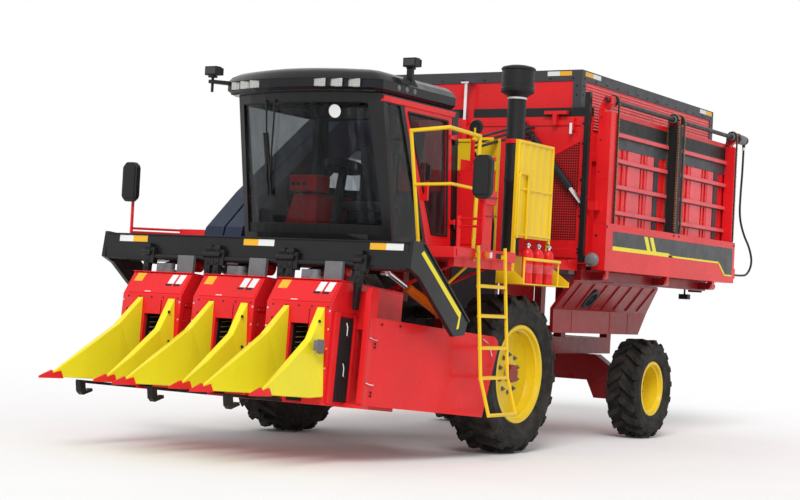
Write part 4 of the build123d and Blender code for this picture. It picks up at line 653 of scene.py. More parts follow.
def wheel(name, mid, side, r, width, rim_r, rim_w, bore, dish, lugs):
    body = name.replace("_", "_wheel_")
    axis = Vector((side, 0, 0))
    rim = Build(f"rim_{name}", "rim", body, bevel=0)
    rim.lathe(mid, axis, rim_outline(rim_r, rim_w, bore, dish), 96)
    piece = rim.done()
    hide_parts(f"{name.split('_')[0]}_rim_{name.split('_')[1]}")

    studs = Build(f"wheel_nuts_{name}", "cast", body, bevel=0.001)
    ring = bore * 2.1
    count = 10 if r > 0.7 else 8
    for n in range(count):
        t = 2 * math.pi * (n + 0.5) / count
        spot = mid + axis * (dish + 0.026) + Vector((0, ring * math.cos(t), ring * math.sin(t)))
        studs.bolt(spot, axis, 0.017, 0.022)
        studs.lathe(spot, axis, [(0.01, 0.0), (0.01, 0.008), (0.034, 0.008), (0.036, 0.0)], 10)
    studs.lathe(mid + axis * (dish + 0.03), axis,
                [(0.0, bore * 1.05), (0.012, bore * 1.0), (0.03, bore * 0.82), (0.036, bore * 0.4),
                 (0.036, 0.0)], 32)
    valve = mid + axis * (dish + 0.10) + Vector((0, 0, rim_r - 0.075))
    studs.tube([valve, valve + axis * 0.05 + Vector((0, 0, -0.03))], 0.005, 8)
    studs.done()

    # Smooth sidewalls over the CAD tyre's flat-sided ones, with moulded rings, and the lugs' shoulders.
    half, crown, base = width / 2, width * 0.43, r - 0.046
    rubber_skin = Build(f"sidewalls_{name}", "tyre", body, bevel=0.004)
    mid_r = (base + rim_r) / 2 + 0.020
    for way in (1, -1):
        wall = [(crown - 0.004, base - 0.010), (crown + 0.008, base - 0.012),
                (half * 0.985, (mid_r + base) / 2 + 0.012), (half + 0.004, mid_r + 0.014),
                (half + 0.010, mid_r + 0.008), (half + 0.010, mid_r - 0.006), (half + 0.004, mid_r - 0.012),
                (half * 0.99, (mid_r + rim_r + 0.042) / 2), (half * 0.955, rim_r + 0.060),
                (half * 0.965, rim_r + 0.052), (half * 0.955, rim_r + 0.040), (half * 0.94, rim_r + 0.022),
                (rim_w / 2 - 0.004, rim_r + 0.004), (rim_w / 2 - 0.018, rim_r + 0.002)]
        rubber_skin.lathe(mid, axis * way, wall, 80)
        pitch = 2 * math.pi / lugs
        phase = -math.pi / 2 + (0 if way * side > 0 else pitch / 2)
        slant = 0.72 * crown / r
        for n in range(lugs):
            a0 = phase + n * pitch + slant
            a1 = a0 + 0.36 * pitch
            drop = 0.30 * (r - rim_r)
            rows = []
            for h, radius, shrink in ((crown - 0.01, r - 0.010, 0.0), (half + 0.002, r - 0.055, 0.02),
                                      (half + 0.006, r - 0.055 - drop * 0.55, 0.05)):
                for t, inset in ((a0, shrink), (a1, -shrink)):
                    rows.append(mid + axis * way * h + Vector((0, radius * math.cos(t + inset * pitch),
                                                               radius * math.sin(t + inset * pitch))))
            for h, radius in ((crown - 0.02, base - 0.03), (half - 0.02, mid_r + 0.02)):
                for t in (a0, a1):
                    rows.append(mid + axis * way * h + Vector((0, radius * math.cos(t),
                                                               radius * math.sin(t))))
            rubber_skin.hull(rows)
    piece = rubber_skin.done()


# Picking header, built level

UNITS = (-0.84, 0.0, 0.84)


def header_pieces():
    bolts = Build("header_bolts", "moulded", "header", bevel=0.0008)
    films = Build("header_white_plates", "white", "header", bevel=0.0005)
    ambers = Build("header_amber_plates", "amber", "header", bevel=0.0005)
    panels = Build("unit_panels", "red", "header", bevel=0.002)
    dark = Build("unit_throats", "moulded", "header", bevel=0.002)
    grey = Build("unit_gear_plates", "cast", "header", bevel=0.003)
    black = Build("hanger_fittings", "black", "header", bevel=0.003)
    rods = Build("unit_latches", "chrome", "header", bevel=0)
    brown = Build("throat_springs", "bronze", "header", bevel=0)
    lean = Vector((0, -0.22, 0.13)).normalized()
    for cx in UNITS:
        # Raised sheet on the leaning hood, with its flange, and blank plates on it
        front, back = Vector((0, -2.94, 1.28)), Vector((0, -2.81, 1.50))

        def hood(u, v, rise):
            point = front.lerp(back, v) + lean * rise
            return Vector((cx + u, point.y, point.z))

        panels.hull([hood(u, v, h) for u in (-0.30, 0.335) for v in (0.06, 0.94) for h in (0, 0.006)])
        panels.boxes((cx - 0.352, cx + 0.352, -2.83, -1.80, 1.500, 1.508),
                     (cx - 0.07, cx + 0.12, -2.946, -2.94, 1.10, 1.236))
        for u0, u1, v0, v1, kind in ((-0.30, -0.20, 0.56, 0.92, ambers), (0.12, 0.19, 0.50, 0.90, films),
                                     (0.215, 0.285, 0.50, 0.90, films)):
            kind.hull([hood(u + (v - 0.5) * 0.04, v, h) for u in (u0, u1) for v in (v0, v1)
                       for h in (0.006, 0.0075)])
        for u0 in (0.12, 0.215):
            dark.hull([hood(u - 0.016, v, h) for u in (u0, u0 + 0.07) for v in (0.40, 0.49)
                       for h in (0.006, 0.0075)])
        films.hull([hood(u, v, h) for u in (-0.10, -0.03) for v in (0.10, 0.13) for h in (0.006, 0.0075)])
        for u in (-0.28, -0.14, 0.0, 0.14, 0.31):
            bolts.bolt(hood(u, 0.97, 0.002), lean, 0.007, 0.006)
            bolts.bolt(Vector((cx + u, -2.94, 1.255)), (0, -1, 0), 0.006, 0.005)
        for z in (0.55, 0.72, 0.89, 1.06, 1.22):
            for u in (-0.335, 0.335):
                rods.bolt(Vector((cx + u, -2.94, z)), (0, -1, 0), 0.006, 0.005)
        # Row channel: dark liner and a column of spring fingers
        dark.boxes((cx - 0.068, cx - 0.060, -2.90, -1.80, 0.42, 1.22),
                   (cx + 0.110, cx + 0.118, -2.90, -1.80, 0.42, 1.22),
                   (cx - 0.068, cx + 0.118, -2.90, -1.80, 1.215, 1.228))
        for n in range(16):
            z = 0.46 + n * 0.047
            brown.tube([(cx - 0.058, -2.86, z), (cx - 0.010, -2.80, z + 0.012),
                        (cx + 0.04, -2.72, z + 0.02)], 0.006, 8)
            brown.tube([(cx + 0.106, -2.83, z + 0.02), (cx + 0.06, -2.75, z + 0.03)], 0.006, 8)
        # Gear head, motor and hoses on the unit's roof
        for u, w in ((0.19, 0.095), (-0.10, 0.05)):
            grey.box(cx + u - w, cx + u + w, -2.74, -2.70, 1.508, 1.508 + 1.8 * w)
        grey.lathe((cx - 0.02, -2.70, 1.508), (0, 0, 1), [(0, 0), (0, 0.075), (0.03, 0.075), (0.035, 0.05),
                                                          (0.09, 0.05), (0.09, 0)], 24)
        panels.lathe((cx + 0.08, -2.50, 1.62), (1, 0, 0),
                     [(0, 0), (0, 0.075), (0.10, 0.075), (0.12, 0.05), (0.12, 0)], 24)
        dark.tube([(cx - 0.26, -2.55, 1.51), (cx - 0.26, -2.52, 1.60), (cx - 0.16, -2.52, 1.63),
                   (cx + 0.08, -2.50, 1.62)], 0.016, 10)
        dark.tube([(cx - 0.02, -2.66, 1.60), (cx + 0.02, -2.55, 1.66), (cx + 0.14, -2.47, 1.68),
                   (cx + 0.30, -2.44, 1.60), (cx + 0.33, -2.40, 1.51)], 0.012, 10)
        # Outer sides: recessed door with rivets and two latch handles
        for side in (-1, 1):
            x = cx + side * 0.35
            for z in (0.52, 0.70, 0.88, 1.06, 1.20):
                for y in (-2.86, -1.88):
                    rods.bolt((x, y, z), (side, 0, 0), 0.006, 0.005)
            for z in (0.72, 1.08):
                rods.tube([(x + side * 0.012, -2.70, z + 0.06), (x + side * 0.026, -2.70, z + 0.02),
                           (x + side * 0.026, -2.70, z - 0.05),
                           (x + side * 0.012, -2.66, z - 0.06)], 0.006, 8)
        panels.boxes((cx + 0.336, cx + 0.346, -2.86, -1.88, 1.19, 1.24),
                     (cx - 0.346, cx - 0.336, -2.86, -1.88, 1.19, 1.24))
        # Hanger hooks over the beam, with their bolts
        for u in (-0.32, 0.42):
            x = cx + u
            black.box(x - 0.045, x + 0.045, -2.715, -2.64, 1.745, 1.775)
            black.disc((x - 0.05, -2.70, 1.70), (1, 0, 0), 0.028, 0, 0.1, 20)
            black.box(x + 0.035, x + 0.085, -2.70, -2.64, 1.60, 1.75)
            bolts.bolt((x, -2.70, 1.62), (0, -1, 0), 0.012, 0.010)
            bolts.bolt((x, -2.70, 1.55), (0, -1, 0), 0.012, 0.010)
            bolts.bolt((x + 0.06, -2.70, 1.72), (0, -1, 0), 0.012, 0.010)
    # Reflective films on the beam's front
    for x, first in ((-1.57, films), (-0.065, ambers), (1.33, ambers)):
        second = ambers if first is films else films
        first.box(x, x + 0.17, -2.6415, -2.64, 1.805, 1.865)
        second.box(x + 0.17, x + 0.35, -2.6415, -2.64, 1.805, 1.865)
    # Beam flanges and end plates
    black.boxes((-1.73, 1.73, -2.655, -2.64, 1.872, 1.884), (-1.73, 1.73, -2.655, -2.64, 1.636, 1.648))
    for piece in (bolts, films, ambers, panels, dark, grey, black, rods, brown):
        piece.done()


def divider_dress():
    """Bolts and bent sheet noses of the dividers, and the spring plate on the outermost one."""
    bolts = Build("divider_bolts", "moulded", "header", bevel=0.0008)
    straps = Build("divider_nose_straps", "red", "header", bevel=0.003)
    brackets = Build("divider_spring_plates", "cast", "header", bevel=0.003)
    for cx in UNITS:
        for spots in (((-0.315, -3.30, 0.70), (-0.235, -3.60, 0.55), (-0.232, -3.0, 1.13),
                       (-0.275, -3.0, 0.90)),
                      ((0.205, -3.20, 0.80), (0.245, -3.50, 0.60), (0.292, -3.02, 1.12),
                       (0.325, -3.02, 0.85))):
            for u, y, z in spots:
                side = -1 if u < 0 else 1
                bolts.bolt((cx + u, y, z), (side, -0.5, 0.4), 0.010, 0.008)
        for u, y, z, width in ((-0.153, -4.0, 0.428, 0.044), (0.352, -3.86, 0.438, 0.038)):
            x = cx + u
            straps.hull([(x + a, y + b, z + c)
                         for a, b, c in ((-width, 0.02, -0.010), (width, 0.02, -0.010),
                                         (-0.010, -0.15, -0.020), (0.010, -0.15, -0.020),
                                         (-width * 0.5, 0.10, 0.062), (width * 0.5, 0.10, 0.062),
                                         (-width, 0.12, -0.006), (width, 0.12, -0.006))])
        if cx == max(UNITS):
            brackets.boxes((cx + 0.335, cx + 0.375, -3.14, -3.03, 0.86, 0.95),
                           (cx + 0.375, cx + 0.381, -3.15, -3.04, 0.84, 0.96))
    for piece in (bolts, straps, brackets):
        piece.done()


def shield_dress():
    """Post, latches and bolts of the side shield, and the dark roller slot ahead of it."""
    dark = Build("end_unit_slot", "moulded", "header", bevel=0.004)
    dark.box(1.191, 1.205, -2.80, -2.60, 0.44, 1.18)
    for z in (0.5, 0.75, 1.0):
        dark.disc((1.18, -2.70, z), (1, 0, 0), 0.02, 0.012, 0.03, 16)
    dark.done()
    edge = Build("end_unit_edges", "red", "header", bevel=0.003)
    edge.boxes((1.19, 1.214, -2.90, -2.82, 0.42, 1.22), (1.19, 1.214, -2.58, -2.50, 0.42, 1.22),
               (1.335, 1.391, -2.64, -2.625, 0.44, 1.43))
    edge.done()
    pins = Build("shield_latches", "chrome", "header", bevel=0)
    for z in (0.62, 1.02):
        pins.tube([(1.398, -2.61, z + 0.01), (1.41, -2.58, z), (1.41, -2.50, z - 0.005)], 0.006, 8)
    pins.tube([(1.632, -0.98, 1.17), (1.665, -0.92, 1.13), (1.676, -0.86, 1.02)], 0.005, 8)
    pins.done()
    bolts = Build("shield_bolts", "moulded", "header", bevel=0.0008)
    for y, z in ((-2.52, 0.55), (-2.52, 0.52), (-2.52, 0.98), (-2.52, 0.95), (-2.45, 1.16), (-2.2, 1.17)):
        bolts.bolt((1.40 + (y + 2.56) * 0.15, y, z), (1, -0.15, 0), 0.008, 0.006)
    bolts.done()


def end_arm_stripes():
    """Blank yellow stripes on the boxed end arms: a long run along the top edge and a short one across."""
    for side, word in ((1, "left"), (-1, "right")):
        x0, x1 = sorted((side * 1.775, side * 1.7765))
        stripe = Build(f"arm_stripe_{word}", "lemon", "header", bevel=0.0004)
        stripe.prism([(-2.49, 1.80), (-2.45, 1.83), (-1.70, 1.355), (-1.735, 1.31)], "X", x0, x1)
        stripe.prism([(-1.70, 1.355), (-1.735, 1.31), (-1.76, 1.20), (-1.72, 1.21)], "X", x0, x1)
        stripe.done()
        rim = Build(f"arm_edge_{word}", "black", "header", bevel=0.004)
        rim.prism([(-2.45, 1.882), (-2.44, 1.892), (-1.545, 1.30), (-1.56, 1.285)], "X",
                  *sorted((side * 1.735, side * 1.790)))
        rim.done()


# Cab

CAB_MID = 0.26
ROOF_FRONT, ROOF_REAR, ROOF_BOW = -2.30, -0.80, 0.20
ROOF_X0, ROOF_X1 = -0.63, 1.13
ROOF_CORNER = 0.09
LAMP_XS = (-0.43, -0.29, -0.15, 0.59, 0.75, 0.91)


def roof_front(x, inset=0.0):
    """Y of the roof's bowed front edge at x."""
    t = (x - CAB_MID) / 0.835
    return ROOF_FRONT + inset - ROOF_BOW * (1 - t * t)


PANE_INSET = 0.018


def screen_y(x, z):
    """Y of the windscreen's face at x and height z."""
    rise = (z - 2.0) / 1.36
    x0, x1 = -0.59 + PANE_INSET + 0.055 * rise, 1.11 - PANE_INSET
    t = 2 * (x - x0) / (x1 - x0) - 1
    return -1.89 + PANE_INSET - 0.29 * rise - 0.19 * (1 - t * t)


def cab_outside():
    black = Build("screen_frame", "moulded", bevel=0.003)
    xs = [-0.52 + 1.56 * n / 12 for n in range(13)]
    for z0, z1 in ((2.055, 2.16), (3.27, 3.33)):
        for a, b in zip(xs, xs[1:]):
            black.hull([(x, screen_y(x, z) + d, z) for x in (a, b) for z in (z0, z1)
                        for d in (-0.008, 0.003)])
    black.done()
    # Roof: seams, low crown, lamps in the front edge, work lamps at both ends, round side bosses
    seam = Build("roof_seam", "moulded", bevel=0.002)
    steps = [-0.56 + 1.64 * n / 20 for n in range(21)]
    seam.tube([(x, roof_front(x, 0.003), 3.478) for x in steps], 0.006, 8)
    seam.tube([(x, roof_front(x, 0.04), 3.372) for x in steps], 0.010, 8)
    seam.done()
    crown = Build("roof_crown", "roof", bevel=0, smooth=60)
    rings = []
    # Inset and height of each ring, just outside the CAD roof
    for inset, z in ((-0.004, 3.478), (0.030, 3.533), (0.085, 3.570), (0.19, 3.596), (0.36, 3.610)):
        x0, x1 = ROOF_X0 + inset, ROOF_X1 - inset
        rear, front, c = ROOF_REAR - inset * 0.5, ROOF_FRONT + inset, ROOF_CORNER
        ring = [(x0, rear - c, z), (x0 + c, rear, z), (x1 - c, rear, z), (x1, rear - c, z),
                (x1, front + c, z)]
        for n in range(25):
            t = 1 - n / 12
            ring.append(((x0 + x1) / 2 + t * ((x1 - x0) / 2 - c / 2), front - ROOF_BOW * (1 - t * t), z))
        rings.append(ring + [(x0, front + c, z)])
    crown.loft(rings)
    crown.done()
    bezel = Build("lamp_surrounds", "moulded", bevel=0.003)
    glow = Build("lamp_reflectors", "lens", bevel=0.004)
    for x in LAMP_XS:
        y = roof_front(x)
        bezel.hull([(x + a, y + b, 3.435 + c) for a, b, c in (
            (-0.077, 0.05, -0.044), (0.077, 0.05, -0.044), (-0.077, 0.05, 0.046), (0.077, 0.05, 0.046),
            (-0.076, 0.008, -0.043), (0.076, 0.008, -0.043), (-0.076, 0.008, 0.045), (0.076, 0.008, 0.045))])
        glow.box(x - 0.069, x + 0.069, y + 0.0065, y + 0.03, 3.398, 3.474)
        for column in range(4):
            for row in range(3):
                x0, z0 = x - 0.067 + column * 0.034, 3.399 + row * 0.025
                glow.hull([(x0 + a, y + b, z0 + c)
                           for a, b, c in ((0.002, 0.012, 0.002), (0.032, 0.012, 0.002),
                                           (0.002, 0.012, 0.023), (0.032, 0.012, 0.023),
                                           (0.006, 0.003, 0.005), (0.028, 0.003, 0.005),
                                           (0.006, 0.003, 0.020), (0.028, 0.003, 0.020))])
    bezel.done()
    glow.done()
    lamps = Build("roof_work_lamps", "moulded", bevel=0.006)
    faces = Build("work_lamp_lenses", "grey", bevel=0.003)
    for x, y, z in ((-0.68, -2.43, 3.535), (1.12, -1.74, 3.665)):
        lamps.box(x - 0.07, x + 0.07, y - 0.03, y + 0.05, z, z + 0.085)
        for k in range(5):
            lamps.box(x - 0.065, x + 0.065, y + 0.05 + k * 0.009, y + 0.054 + k * 0.009, z + 0.008, z + 0.078)
        lamps.box(x - 0.062, x + 0.062, y + 0.045, y + 0.088, z + 0.02, z + 0.065)
        lamps.tube([(x, y + 0.01, z - 0.16), (x, y + 0.01, z)], 0.014, 10)
        lamps.box(x - 0.035, x + 0.035, y - 0.02, y + 0.04, z - 0.022, z - 0.004)
        faces.box(x - 0.058, x + 0.058, y - 0.036, y - 0.03, z + 0.012, z + 0.073)
    lamps.slab([(-0.70, -2.46), (-0.66, -2.46), (-0.56, -2.18), (-0.48, -2.22)], "Z", 3.455, 3.49)
    lamps.done()
    faces.done()
    boss = Build("roof_side_bosses", "cast", bevel=0.002)
    lamps_plate = Build("work_lamp_bracket", "moulded", bevel=0.003)
    lamps_plate.slab([(-2.02, 3.40), (-1.55, 3.46), (-1.82, 3.56), (-1.68, 3.56)], "X", 1.10, 1.125)
    lamps_plate.hull([(x, y, z) for x in (1.09, 1.15) for y in (-1.76, -1.72) for z in (3.54, 3.66)])
    lamps_plate.done()
    for y in (-1.94, -1.80, -1.66):
        boss.lathe((1.128, y, 3.44), (1, 0, 0),
                   [(0, 0), (0, 0.026), (0.006, 0.026), (0.009, 0.016), (0.009, 0)], 20)
    boss.done()
    # Wipers, blank round plate, door handle and seal, and the beam over the door
    wiper = Build("wipers", "moulded", bevel=0.001)
    for x0, x1 in ((-0.10, -0.17), (0.02, -0.13)):
        z0, z1 = 3.30, 2.55
        wiper.tube([(x0 + (x1 - x0) * k / 6, screen_y(x0 + (x1 - x0) * k / 6, z0 + (z1 - z0) * k / 6) - 0.03,
                     z0 + (z1 - z0) * k / 6) for k in range(7)], 0.009, 8)
        wiper.hull([(x1 + a, screen_y(x1, z) - d, z) for z in (2.42, 3.0) for a in (-0.008, 0.008)
                    for d in (0.006, 0.028)])
    wiper.done()
    plate = Build("screen_round_plate", "white", bevel=0.0005)
    x, z = 0.66, 3.19
    normal = Vector((0.10, -1, -0.213)).normalized()
    plate.lathe(Vector((x, screen_y(x, z) - 0.010, z)), normal,
                [(0, 0), (0, 0.062), (0.0015, 0.062), (0.0015, 0)], 40)
    plate.done()
    trim = Build("door_handle", "moulded", "cab_door", bevel=0.004)
    trim.boxes((1.11, 1.130, -1.36, -1.31, 2.62, 2.80), (1.125, 1.150, -1.345, -1.325, 2.64, 2.78))
    trim.done()
    seal = Build("door_seal", "moulded", "cab_door", bevel=0.0015)
    # The door window's outline, (y, z)
    window = [(-0.905, 2.13), (-1.19, 2.13), (-1.725, 3.24), (-0.995, 3.24)]
    for (y0, z0), (y1, z1) in zip(window, window[1:] + window[:1]):
        seal.tube([(1.113, y0, z0), (1.113, y1, z1)], 0.012, 8)
    seal.done()
    beam = Build("cab_side_beam", "red", bevel=0.006)
    beam.slab([(-2.16, 3.345), (-0.86, 3.345), (-2.18, 3.29), (-0.88, 3.29)], "X", 1.085, 1.125)
    beam.done()


def cab_inside():
    lining = Build("cab_lining", "moulded", bevel=0.004)
    lining.boxes((-0.46, 0.98, -1.70, -0.86, 3.295, 3.315), (-0.40, 0.92, -0.80, -0.765, 2.05, 2.52),
                 (-0.45, 0.97, -1.80, -0.80, 2.032, 2.046))
    lining.done()
    screens = Build("cab_monitors", "moulded", bevel=0.006)
    screens.box(0.86, 1.0, -1.62, -1.58, 2.86, 2.98)
    screens.tube([(1.02, -1.58, 2.7), (0.95, -1.58, 2.86)], 0.010, 8)
    screens.box(0.45, 0.62, -1.30, -1.05, 3.20, 3.29)
    screens.done()
    console = Build("side_console", "red", bevel=0.010, segments=3)
    console.box(-0.30, 0.02, -1.60, -1.36, 2.50, 2.66)
    console.hull([(x, y, z) for x, y, z in ((-0.44, -1.52, 2.05), (-0.02, -1.52, 2.05), (-0.30, -1.52, 2.48),
                                            (-0.02, -1.52, 2.48), (-0.44, -0.9, 2.05), (-0.02, -0.9, 2.05),
                                            (-0.30, -0.9, 2.48), (-0.02, -0.9, 2.48))])
    console.done()
    knobs = Build("console_knobs", "moulded", bevel=0.002)
    for x in (-0.25, -0.19, -0.12):
        knobs.lathe((x, -1.60, 2.57), (0, -1, 0),
                    [(0, 0), (0, 0.02), (0.012, 0.018), (0.016, 0.012), (0.016, 0)], 20)
    knobs.tube([(-0.08, -1.45, 2.66), (-0.06, -1.42, 2.80)], 0.008, 8)
    knobs.lathe((-0.06, -1.42, 2.80), (0, 0, 1), [(-0.02, 0), (-0.01, 0.022), (0.012, 0.024), (0.028, 0.014),
                                                  (0.032, 0)], 20)
    knobs.done()
    # Steering wheel: round rim, hub and three spokes on the CAD column
    foot, top = Vector((CAB_MID, -1.64, 2.03)), Vector((CAB_MID, -1.49, 2.74))
    axis = (top - foot).normalized()
    side = Vector((1, 0, 0))
    other = axis.cross(side)
    rim = Build("steering_rim", "moulded", bevel=0)
    ring = [top + axis * 0.03 + 0.178 * (math.cos(t) * side + math.sin(t) * other)
            for t in (2 * math.pi * k / 40 for k in range(41))]
    rim.tube(ring, 0.016, 12)
    for t in (math.pi / 2, math.pi * 7 / 6, math.pi * 11 / 6):
        out = math.cos(t) * side + math.sin(t) * other
        rim.tube([top + axis * 0.03 + out * 0.03, top + axis * 0.03 + out * 0.175], 0.010, 8)
    rim.lathe(top + axis * 0.01, axis, [(0, 0), (0, 0.045), (0.03, 0.045), (0.04, 0.03), (0.04, 0)], 24)
    rim.done()
    # Protective film bunched behind the left of the windscreen, as thin crumpled strips with painted
    # highlights
    random.seed(7)
    film = Build("screen_film", "film", bevel=0, smooth=80)
    for n in range(3):
        x = 0.74 + n * 0.09
        rows = []
        for k in range(15):
            z = 2.18 + k * 0.075
            lean = 0.05 * (3.2 - z)
            y = screen_y(min(x + lean, 1.0), z) + 0.035 + random.uniform(0, 0.025)
            rows.append([(x + lean + random.uniform(-0.01, 0.01), y, z),
                         (x + lean + 0.05 + random.uniform(-0.01, 0.01), y + random.uniform(0.0, 0.03), z)])
        film.loft(rows, closed=False, caps=False)
    film.done()


def cushion(name, centre, size, turn, crown):
    """Crowned closed cushion with sewn channels across, smoothed by subdivision."""
    bm = bmesh.new()
    nx, ny = 9, 11
    w, d, h = size
    grids = []
    for way in (1, -1):
        rows = []
        for j in range(ny):
            v = 2 * j / (ny - 1) - 1
            row = []
            for i in range(nx):
                u = 2 * i / (nx - 1) - 1
                swell = (1 - u ** 4) * (1 - v ** 4)
                seam = 0.010 if j in (3, 7) and way > 0 and abs(u) < 0.9 else 0.0
                z = way * (h / 2 * 0.55 + (crown * swell if way > 0 else 0.004 * swell)) - seam
                pull = 1 - 0.02 * (1 - v * v)
                row.append(bm.verts.new((u * w / 2 * pull, v * d / 2, z)))
            rows.append(row)
        for a, b in zip(rows, rows[1:]):
            for i in range(nx - 1):
                bm.faces.new((a[i], a[i + 1], b[i + 1], b[i])
                             if way > 0 else (a[i], b[i], b[i + 1], a[i + 1]))
        grids.append(rows)
    top, low = grids
    border = ([(0, i) for i in range(nx)] + [(j, nx - 1) for j in range(1, ny)]
              + [(ny - 1, i) for i in range(nx - 2, -1, -1)] + [(j, 0) for j in range(ny - 2, 0, -1)])
    for (j, i), (q, p) in zip(border, border[1:] + border[:1]):
        bm.faces.new((top[j][i], low[j][i], low[q][p], top[q][p]))
    bmesh.ops.recalc_face_normals(bm, faces=bm.faces)
    mesh = bpy.data.meshes.new(name)
    bm.to_mesh(mesh)
    bm.free()
    mesh.transform(SHIFT @ Matrix.Translation(centre) @ Matrix.Rotation(turn, 4, "X"))
    mesh.shade_smooth()
    mesh.materials.append(MAT["cloth"])
    piece = bpy.data.objects.new(name, mesh)
    bpy.context.scene.collection.objects.link(piece)
    smooth = piece.modifiers.new("smooth", "SUBSURF")
    smooth.levels = smooth.render_levels = 2
    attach(piece, "chassis")
    return piece


def seat():
    base = cushion("seat_cushion", (CAB_MID, -1.01, 2.385), (0.47, 0.44, 0.11), 0, 0.030)
    cushion("seat_back", (CAB_MID, -0.865, 2.73), (0.43, 0.56, 0.10), math.radians(90), 0.028)
    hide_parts("seat")
    frame_ = Build("seat_base", "moulded", bevel=0.008)
    frame_.box(0.10, 0.42, -1.16, -0.84, 2.03, 2.325)
    for k in range(5):
        frame_.box(0.095, 0.425, -1.165, -0.835, 2.07 + k * 0.045, 2.09 + k * 0.045)
    frame_.box(0.04, 0.48, -0.838, -0.822, 2.46, 3.0)
    for x in (0.015, 0.475):
        frame_.hull([(x + a, y, z) for a in (0, 0.03)
                     for y, z in ((-1.16, 2.50), (-0.84, 2.50), (-1.16, 2.54), (-0.84, 2.54))])
    frame_.done()


# Cotton bin

TOP_X = 1.22


def bin_pieces():
    # Perforated areas of both end walls, with their strips
    mesh = Build("bin_perforated_front", "holes", bevel=0)
    mesh.slab([(0.62, 2.24), (1.27, 2.24), (1.27, 3.32), (1.16, 3.22), (0.62, 2.96)], "Y", 1.616, 1.6205)
    mesh.done()
    mesh = Build("bin_perforated_rear", "holes", bevel=0)
    mesh.box(-1.1, 1.1, 5.6395, 5.644, 2.30, 3.30)
    mesh.done()
    strips = Build("bin_wall_strips", "red", bevel=0.003)
    for y0, y1 in ((1.607, 1.62), (5.64, 5.653)):
        for x0, x1, z0, z1 in ((1.28, 1.34, 2.04, 3.56), (-1.40, -1.34, 2.22, 3.56),
                               (-1.34, 1.28, 3.50, 3.56),
                               (-1.30, 1.28, 2.04, 2.14)):
            strips.box(x0, x1, y0, y1, z0, z1)
    for x in (-1.1, -0.55, 0.0, 0.55):
        strips.boxes((x - 0.02, x + 0.02, 1.607, 1.62, 2.14, 3.50),
                     (x - 0.02, x + 0.02, 5.64, 5.656, 2.14, 3.50))
    strips.slab([(0.60, 2.99), (0.60, 3.03), (1.28, 3.36), (1.28, 3.32)], "Y", 1.609, 1.62)
    for y in [1.95 + 0.52 * n for n in range(7)]:
        strips.box(-1.434, -1.42, y, y + 0.06, 2.22, 3.56)
    strips.done()
    bolts = Build("bin_bolts", "moulded", bevel=0.0008)
    for z in (2.10, 2.14, 2.5, 2.9, 3.3, 3.52):
        for x in (-1.37, 1.31):
            bolts.bolt((x, 1.607, z), (0, -1, 0), 0.010, 0.008)
            bolts.bolt((x, 5.653, z), (0, 1, 0), 0.010, 0.008)
    bolts.done()
    # Telescoping top: louvred sides, end panels, bolts and films on the rim
    vents = Build("top_louvres", "pink", "bin_top", bevel=0)
    for side in (1, -1):
        for k in range(15):
            z = 3.50 + k * 0.033
            for y0, y1 in ((1.80, 2.70), (2.73, 3.62), (3.65, 4.54), (4.57, 5.46)):
                vents.hull([(side * x, y, z + dz) for y in (y0, y1)
                            for x, dz in ((TOP_X - 0.001, 0), (TOP_X + 0.007, 0.002),
                                          (TOP_X - 0.001, 0.020))])
    vents.done()
    plates = Build("top_end_panels", "red", "bin_top", bevel=0.003)
    for y0, y1 in ((1.684, 1.69), (5.57, 5.576)):
        plates.boxes((0.03, 1.09, y0, y1, 3.64, 3.99), (-1.09, -0.30, y0, y1, 3.64, 3.99))
    plates.done()
    studs = Build("top_rim_bolts", "moulded", "bin_top", bevel=0.0008)
    for n in range(14):
        y = 1.75 + n * 0.288
        for side in (1, -1):
            studs.bolt((side * 1.23, y, 4.035), (side, 0, 0), 0.008, 0.006)
    for n in range(9):
        x = -1.12 + n * 0.28
        studs.bolt((x, 1.68, 4.035), (0, -1, 0), 0.008, 0.006)
        studs.bolt((x, 5.58, 4.035), (0, 1, 0), 0.008, 0.006)
    for side in (1, -1):
        for z in (3.55, 3.70, 3.85, 3.95):
            for y, way in ((1.73, -1), (5.53, 1)):
                studs.bolt((side * 1.23, y, z), (side, 0, 0), 0.008, 0.006)
                studs.bolt((side * 1.17, y - 0.05 * -way, z), (0, way, 0), 0.008, 0.006)
    studs.done()
    white = Build("top_white_films", "white", "bin_top", bevel=0.0004)
    amber = Build("top_amber_films", "amber", "bin_top", bevel=0.0004)
    for first, second, y in ((amber, white, 1.76), (white, amber, 5.12)):
        for side in (1, -1):
            x0, x1 = sorted((side * 1.2300, side * 1.2312))
            first.box(x0, x1, y, y + 0.20, 4.065, 4.115)
            second.box(x0, x1, y + 0.20, y + 0.40, 4.065, 4.115)
    white.box(0.80, 0.95, 1.6788, 1.68, 4.065, 4.115)
    amber.box(0.95, 1.10, 1.6788, 1.68, 4.065, 4.115)
    white.box(-0.95, -0.80, 5.58, 5.5812, 4.065, 4.115)
    amber.box(-1.10, -0.95, 5.58, 5.5812, 4.065, 4.115)
    white.done()
    amber.done()
    # Brackets on the front wall
    rail = Build("bin_wall_fittings", "red", bevel=0.003)
    rail.boxes((0.84, 1.12, 1.56, 1.62, 3.62, 3.66), (0.95, 1.0, 1.55, 1.62, 3.50, 3.62),
               (1.16, 1.21, 1.56, 1.62, 3.44, 3.58))
    rail.done()
    sleeve = Build("top_guide_sleeve", "white", bevel=0.003)
    sleeve.disc((1.185, 1.545, 3.40), (0, 0, 1), 0.016, 0, 0.12, 20)
    sleeve.done()


DOOR_FACE = 1.60
DOOR_BAYS = ((1.86, 3.57), (3.72, 5.46))
SHAFT_X, SHAFT_Z = 1.542, 3.79


